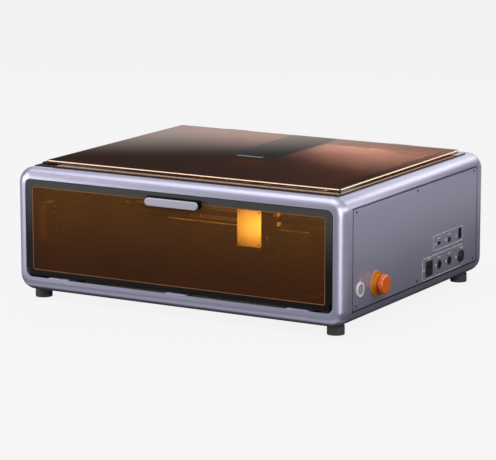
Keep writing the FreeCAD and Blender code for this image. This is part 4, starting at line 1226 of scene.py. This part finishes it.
class CUTTER_OT_stage(bpy.types.Operator):
    """Sets up the pale floor, the soft lights and the camera"""
    bl_idname = "cutter.stage"
    bl_label = "Stage"

    def execute(self, context):
        s = context.scene.cutter_stage
        self.floor(s)
        self.world()
        self.lights()
        self.cards()
        deselect()
        bpy.ops.object.camera_add(
            location=s.place, rotation=(math.radians(90) - s.pitch, 0, s.yaw))
        camera = context.object
        camera.data.sensor_width = 36.0
        camera.data.lens = s.lens
        camera.data.clip_end = 100.0
        context.scene.camera = camera
        context.scene.view_settings.view_transform = "Standard"
        return {"FINISHED"}

    def floor(self, s):
        deselect()
        bpy.ops.mesh.primitive_grid_add(x_subdivisions=4, y_subdivisions=4, size=60)
        floor = bpy.context.object
        floor.name = "floor"
        material, tree, shader = new_material("floor_pale", specular=0.0)
        grain_over(tree, shader, solid(s.floor), 0.01, 30.0, 0.9, 0.02, 0.01)
        shader.inputs["Emission Color"].default_value = (1, 1, 1, 1)
        path = tree.nodes.new("ShaderNodeLightPath")
        glow = maths(tree, "MULTIPLY", path.outputs["Is Camera Ray"], FLOOR_GLOW)
        wire(tree, shader.inputs["Emission Strength"], glow)
        floor.data.materials.append(material)
        floor.visible_glossy = False

    def world(self):
        world = bpy.data.worlds.new("studio")
        bpy.context.scene.world = world
        world.use_nodes = True
        tree = world.node_tree
        place = tree.nodes.new("ShaderNodeTexCoord").outputs["Generated"]
        parts = tree.nodes.new("ShaderNodeSeparateXYZ")
        wire(tree, parts.inputs[0], place)
        ramp = tree.nodes.new("ShaderNodeValToRGB")
        share = maths(tree, "MULTIPLY_ADD", parts.outputs["Z"], 0.5, 0.5)
        wire(tree, ramp.inputs[0], share)
        stops = ((0.0, 1.0), (0.15, 0.75), (0.25, 0.15), (0.34, 0.12), (0.40, 0.54), (0.50, 0.16),
                 (0.62, 0.03), (0.78, 0.22), (1.0, 0.85))
        elements = ramp.color_ramp.elements
        while len(elements) < len(stops):
            elements.new(0.5)
        for element, (where, level) in zip(elements, stops):
            element.position = where
            element.color = (level, level, level * COOL, 1)
        around = tree.nodes["Background"]
        wire(tree, around.inputs["Color"], ramp.outputs[0])
        seen = tree.nodes.new("ShaderNodeBackground")
        seen.inputs["Color"].default_value = solid(LIT_WHITE)
        mix = tree.nodes.new("ShaderNodeMixShader")
        path = tree.nodes.new("ShaderNodeLightPath")
        wire(tree, mix.inputs[0], path.outputs["Is Camera Ray"])
        wire(tree, mix.inputs[1], around.outputs[0])
        wire(tree, mix.inputs[2], seen.outputs[0])
        wire(tree, tree.nodes["World Output"].inputs["Surface"], mix.outputs[0])

    def lights(self):
        softbox("light_top", (-0.3, -0.6, 2.2), (0, 0, 0.1), 2.4, 1.6, 26)
        softbox("light_front_right", (1.8, -1.75, 0.6), (0.2, -0.1, 0.1), 1.1, 2.0, 34)
        softbox("light_side_rear", (0.55, 1.05, 0.74), (0.28, 0.0, 0.20), 0.40, 0.25, 1.3)
        softbox("light_side", (0.66, 0.02, 0.36), (0.28, 0.02, 0.17), 0.9, 0.10, 1.3)
        softbox("light_low_left", (-1.5, -1.3, 0.25), (-0.25, -0.2, 0.08), 0.8, 0.4, 8)
        softbox("light_left", (-2.2, -1.6, 0.9), (-0.2, -0.1, 0.1), 0.6, 1.6, 18)
        softbox("light_rear", (-0.7, 1.9, 1.1), (0, 0, 0.15), 2.4, 0.7, 8)
        strip = middle("led_strip")
        warm = (1.0, 0.90, 0.70)
        softbox("light_inside", (0, strip.y, strip.z - 0.003), (0, -0.05, 0.10), 0.38, 0.008,
                0.8, warm)
        cover = middle("head_cover")
        softbox("light_head", cover + Vector((0, -0.075, -0.012)), cover, 0.10, 0.01, 0.14,
                (1.0, 0.96, 0.70))
        softbox("light_camera", (0, -0.105, 0.180), (0, -0.021, 0.202), 0.08, 0.01, 0.35, warm)
        grille = middle("exhaust_grille")
        softbox("light_grille", grille + Vector((0, -0.12, 0.09)), grille, 0.14, 0.02, 0.6, warm)

    def cards(self):
        """Large cards that only show as reflections."""
        distance, height = 1.2, 0.40
        back = Vector((-math.sin(CAMERA_YAW), math.cos(CAMERA_YAW), 0))
        deselect()
        bpy.ops.mesh.primitive_grid_add(x_subdivisions=2, y_subdivisions=8, size=1)
        card = bpy.context.object
        card.name = "rear_card"
        card.matrix_world = (Matrix.Translation(back * distance + Vector((0, 0, height)))
                             @ Matrix.Rotation(CAMERA_YAW, 4, "Z") @ TURN_TO["-y"]
                             @ Matrix.Diagonal((3.0, 0.30, 1, 1)))
        settle(card)
        material, tree, shader = new_material("card_glow")
        fade = group_node(tree, "Fade", Start_Color=(1.0, 0.84, 0.78, 1), End_Color=(0, 0, 0, 1),
                          Direction=(0, 0, 1), Start=0.362, End=0.416)
        shader.inputs["Base Color"].default_value = (0, 0, 0, 1)
        wire(tree, shader.inputs["Emission Color"], fade.outputs["Color"])
        shader.inputs["Emission Strength"].default_value = 0.72
        self.mirrored_only(card, material)
        black = matt("flag_black", (0.004, 0.004, 0.005))
        for name, centre, size in (("side_flag", (0.41, 0.22, 0.001), (0.24, 1.10, 1, 1)),
                                   ("under_flag", (0.0, 0.01, 0.001), (0.57, 0.50, 1, 1))):
            deselect()
            bpy.ops.mesh.primitive_grid_add(x_subdivisions=2, y_subdivisions=2, size=1)
            flag = bpy.context.object
            flag.name = name
            flag.matrix_world = Matrix.Translation(centre) @ Matrix.Diagonal(size)
            settle(flag)
            self.mirrored_only(flag, black)

    def mirrored_only(self, card, material):
        """Leaves the card to be seen in reflections only."""
        card.data.materials.append(material)
        card.visible_camera = False
        card.visible_diffuse = False
        card.visible_shadow = False
        card.visible_transmission = False


class CUTTER_PT_panel(bpy.types.Panel):
    """Lists every step of the cutter in the sidebar"""
    bl_idname = "CUTTER_PT_panel"
    bl_label = "Desktop laser cutter"
    bl_space_type = "VIEW_3D"
    bl_region_type = "UI"
    bl_category = "Cutter"

    def draw(self, context):
        for step in STEPS:
            self.layout.operator(step.bl_idname)


SETTINGS = (FinishSettings, FittingSettings, StageSettings)
STEPS = (
    CUTTER_OT_finishes, CUTTER_OT_port_marks, CUTTER_OT_trim_lines, CUTTER_OT_button_face,
    CUTTER_OT_stop_marks, CUTTER_OT_window_rim, CUTTER_OT_lid_edge, CUTTER_OT_camera_lens,
    CUTTER_OT_screws, CUTTER_OT_foot_ridges, CUTTER_OT_belt_teeth, CUTTER_OT_motor_fittings,
    CUTTER_OT_board_parts, CUTTER_OT_lamp_chips, CUTTER_OT_socket_contacts, CUTTER_OT_fan_guard,
    CUTTER_OT_head_details, CUTTER_OT_stage,
)


def register():
    for group in (*SETTINGS, *STEPS, CUTTER_PT_panel):
        bpy.utils.register_class(group)
    bpy.types.Scene.cutter_finish = PointerProperty(type=FinishSettings)
    bpy.types.Scene.cutter_fitting = PointerProperty(type=FittingSettings)
    bpy.types.Scene.cutter_stage = PointerProperty(type=StageSettings)


def unregister():
    del bpy.types.Scene.cutter_stage
    del bpy.types.Scene.cutter_fitting
    del bpy.types.Scene.cutter_finish
    for group in reversed((*SETTINGS, *STEPS, CUTTER_PT_panel)):
        bpy.utils.unregister_class(group)


def main():
    register()
    for step in STEPS:
        family, verb = step.bl_idname.split(".")
        getattr(getattr(bpy.ops, family), verb)()


if __name__ == "__main__":
    main()
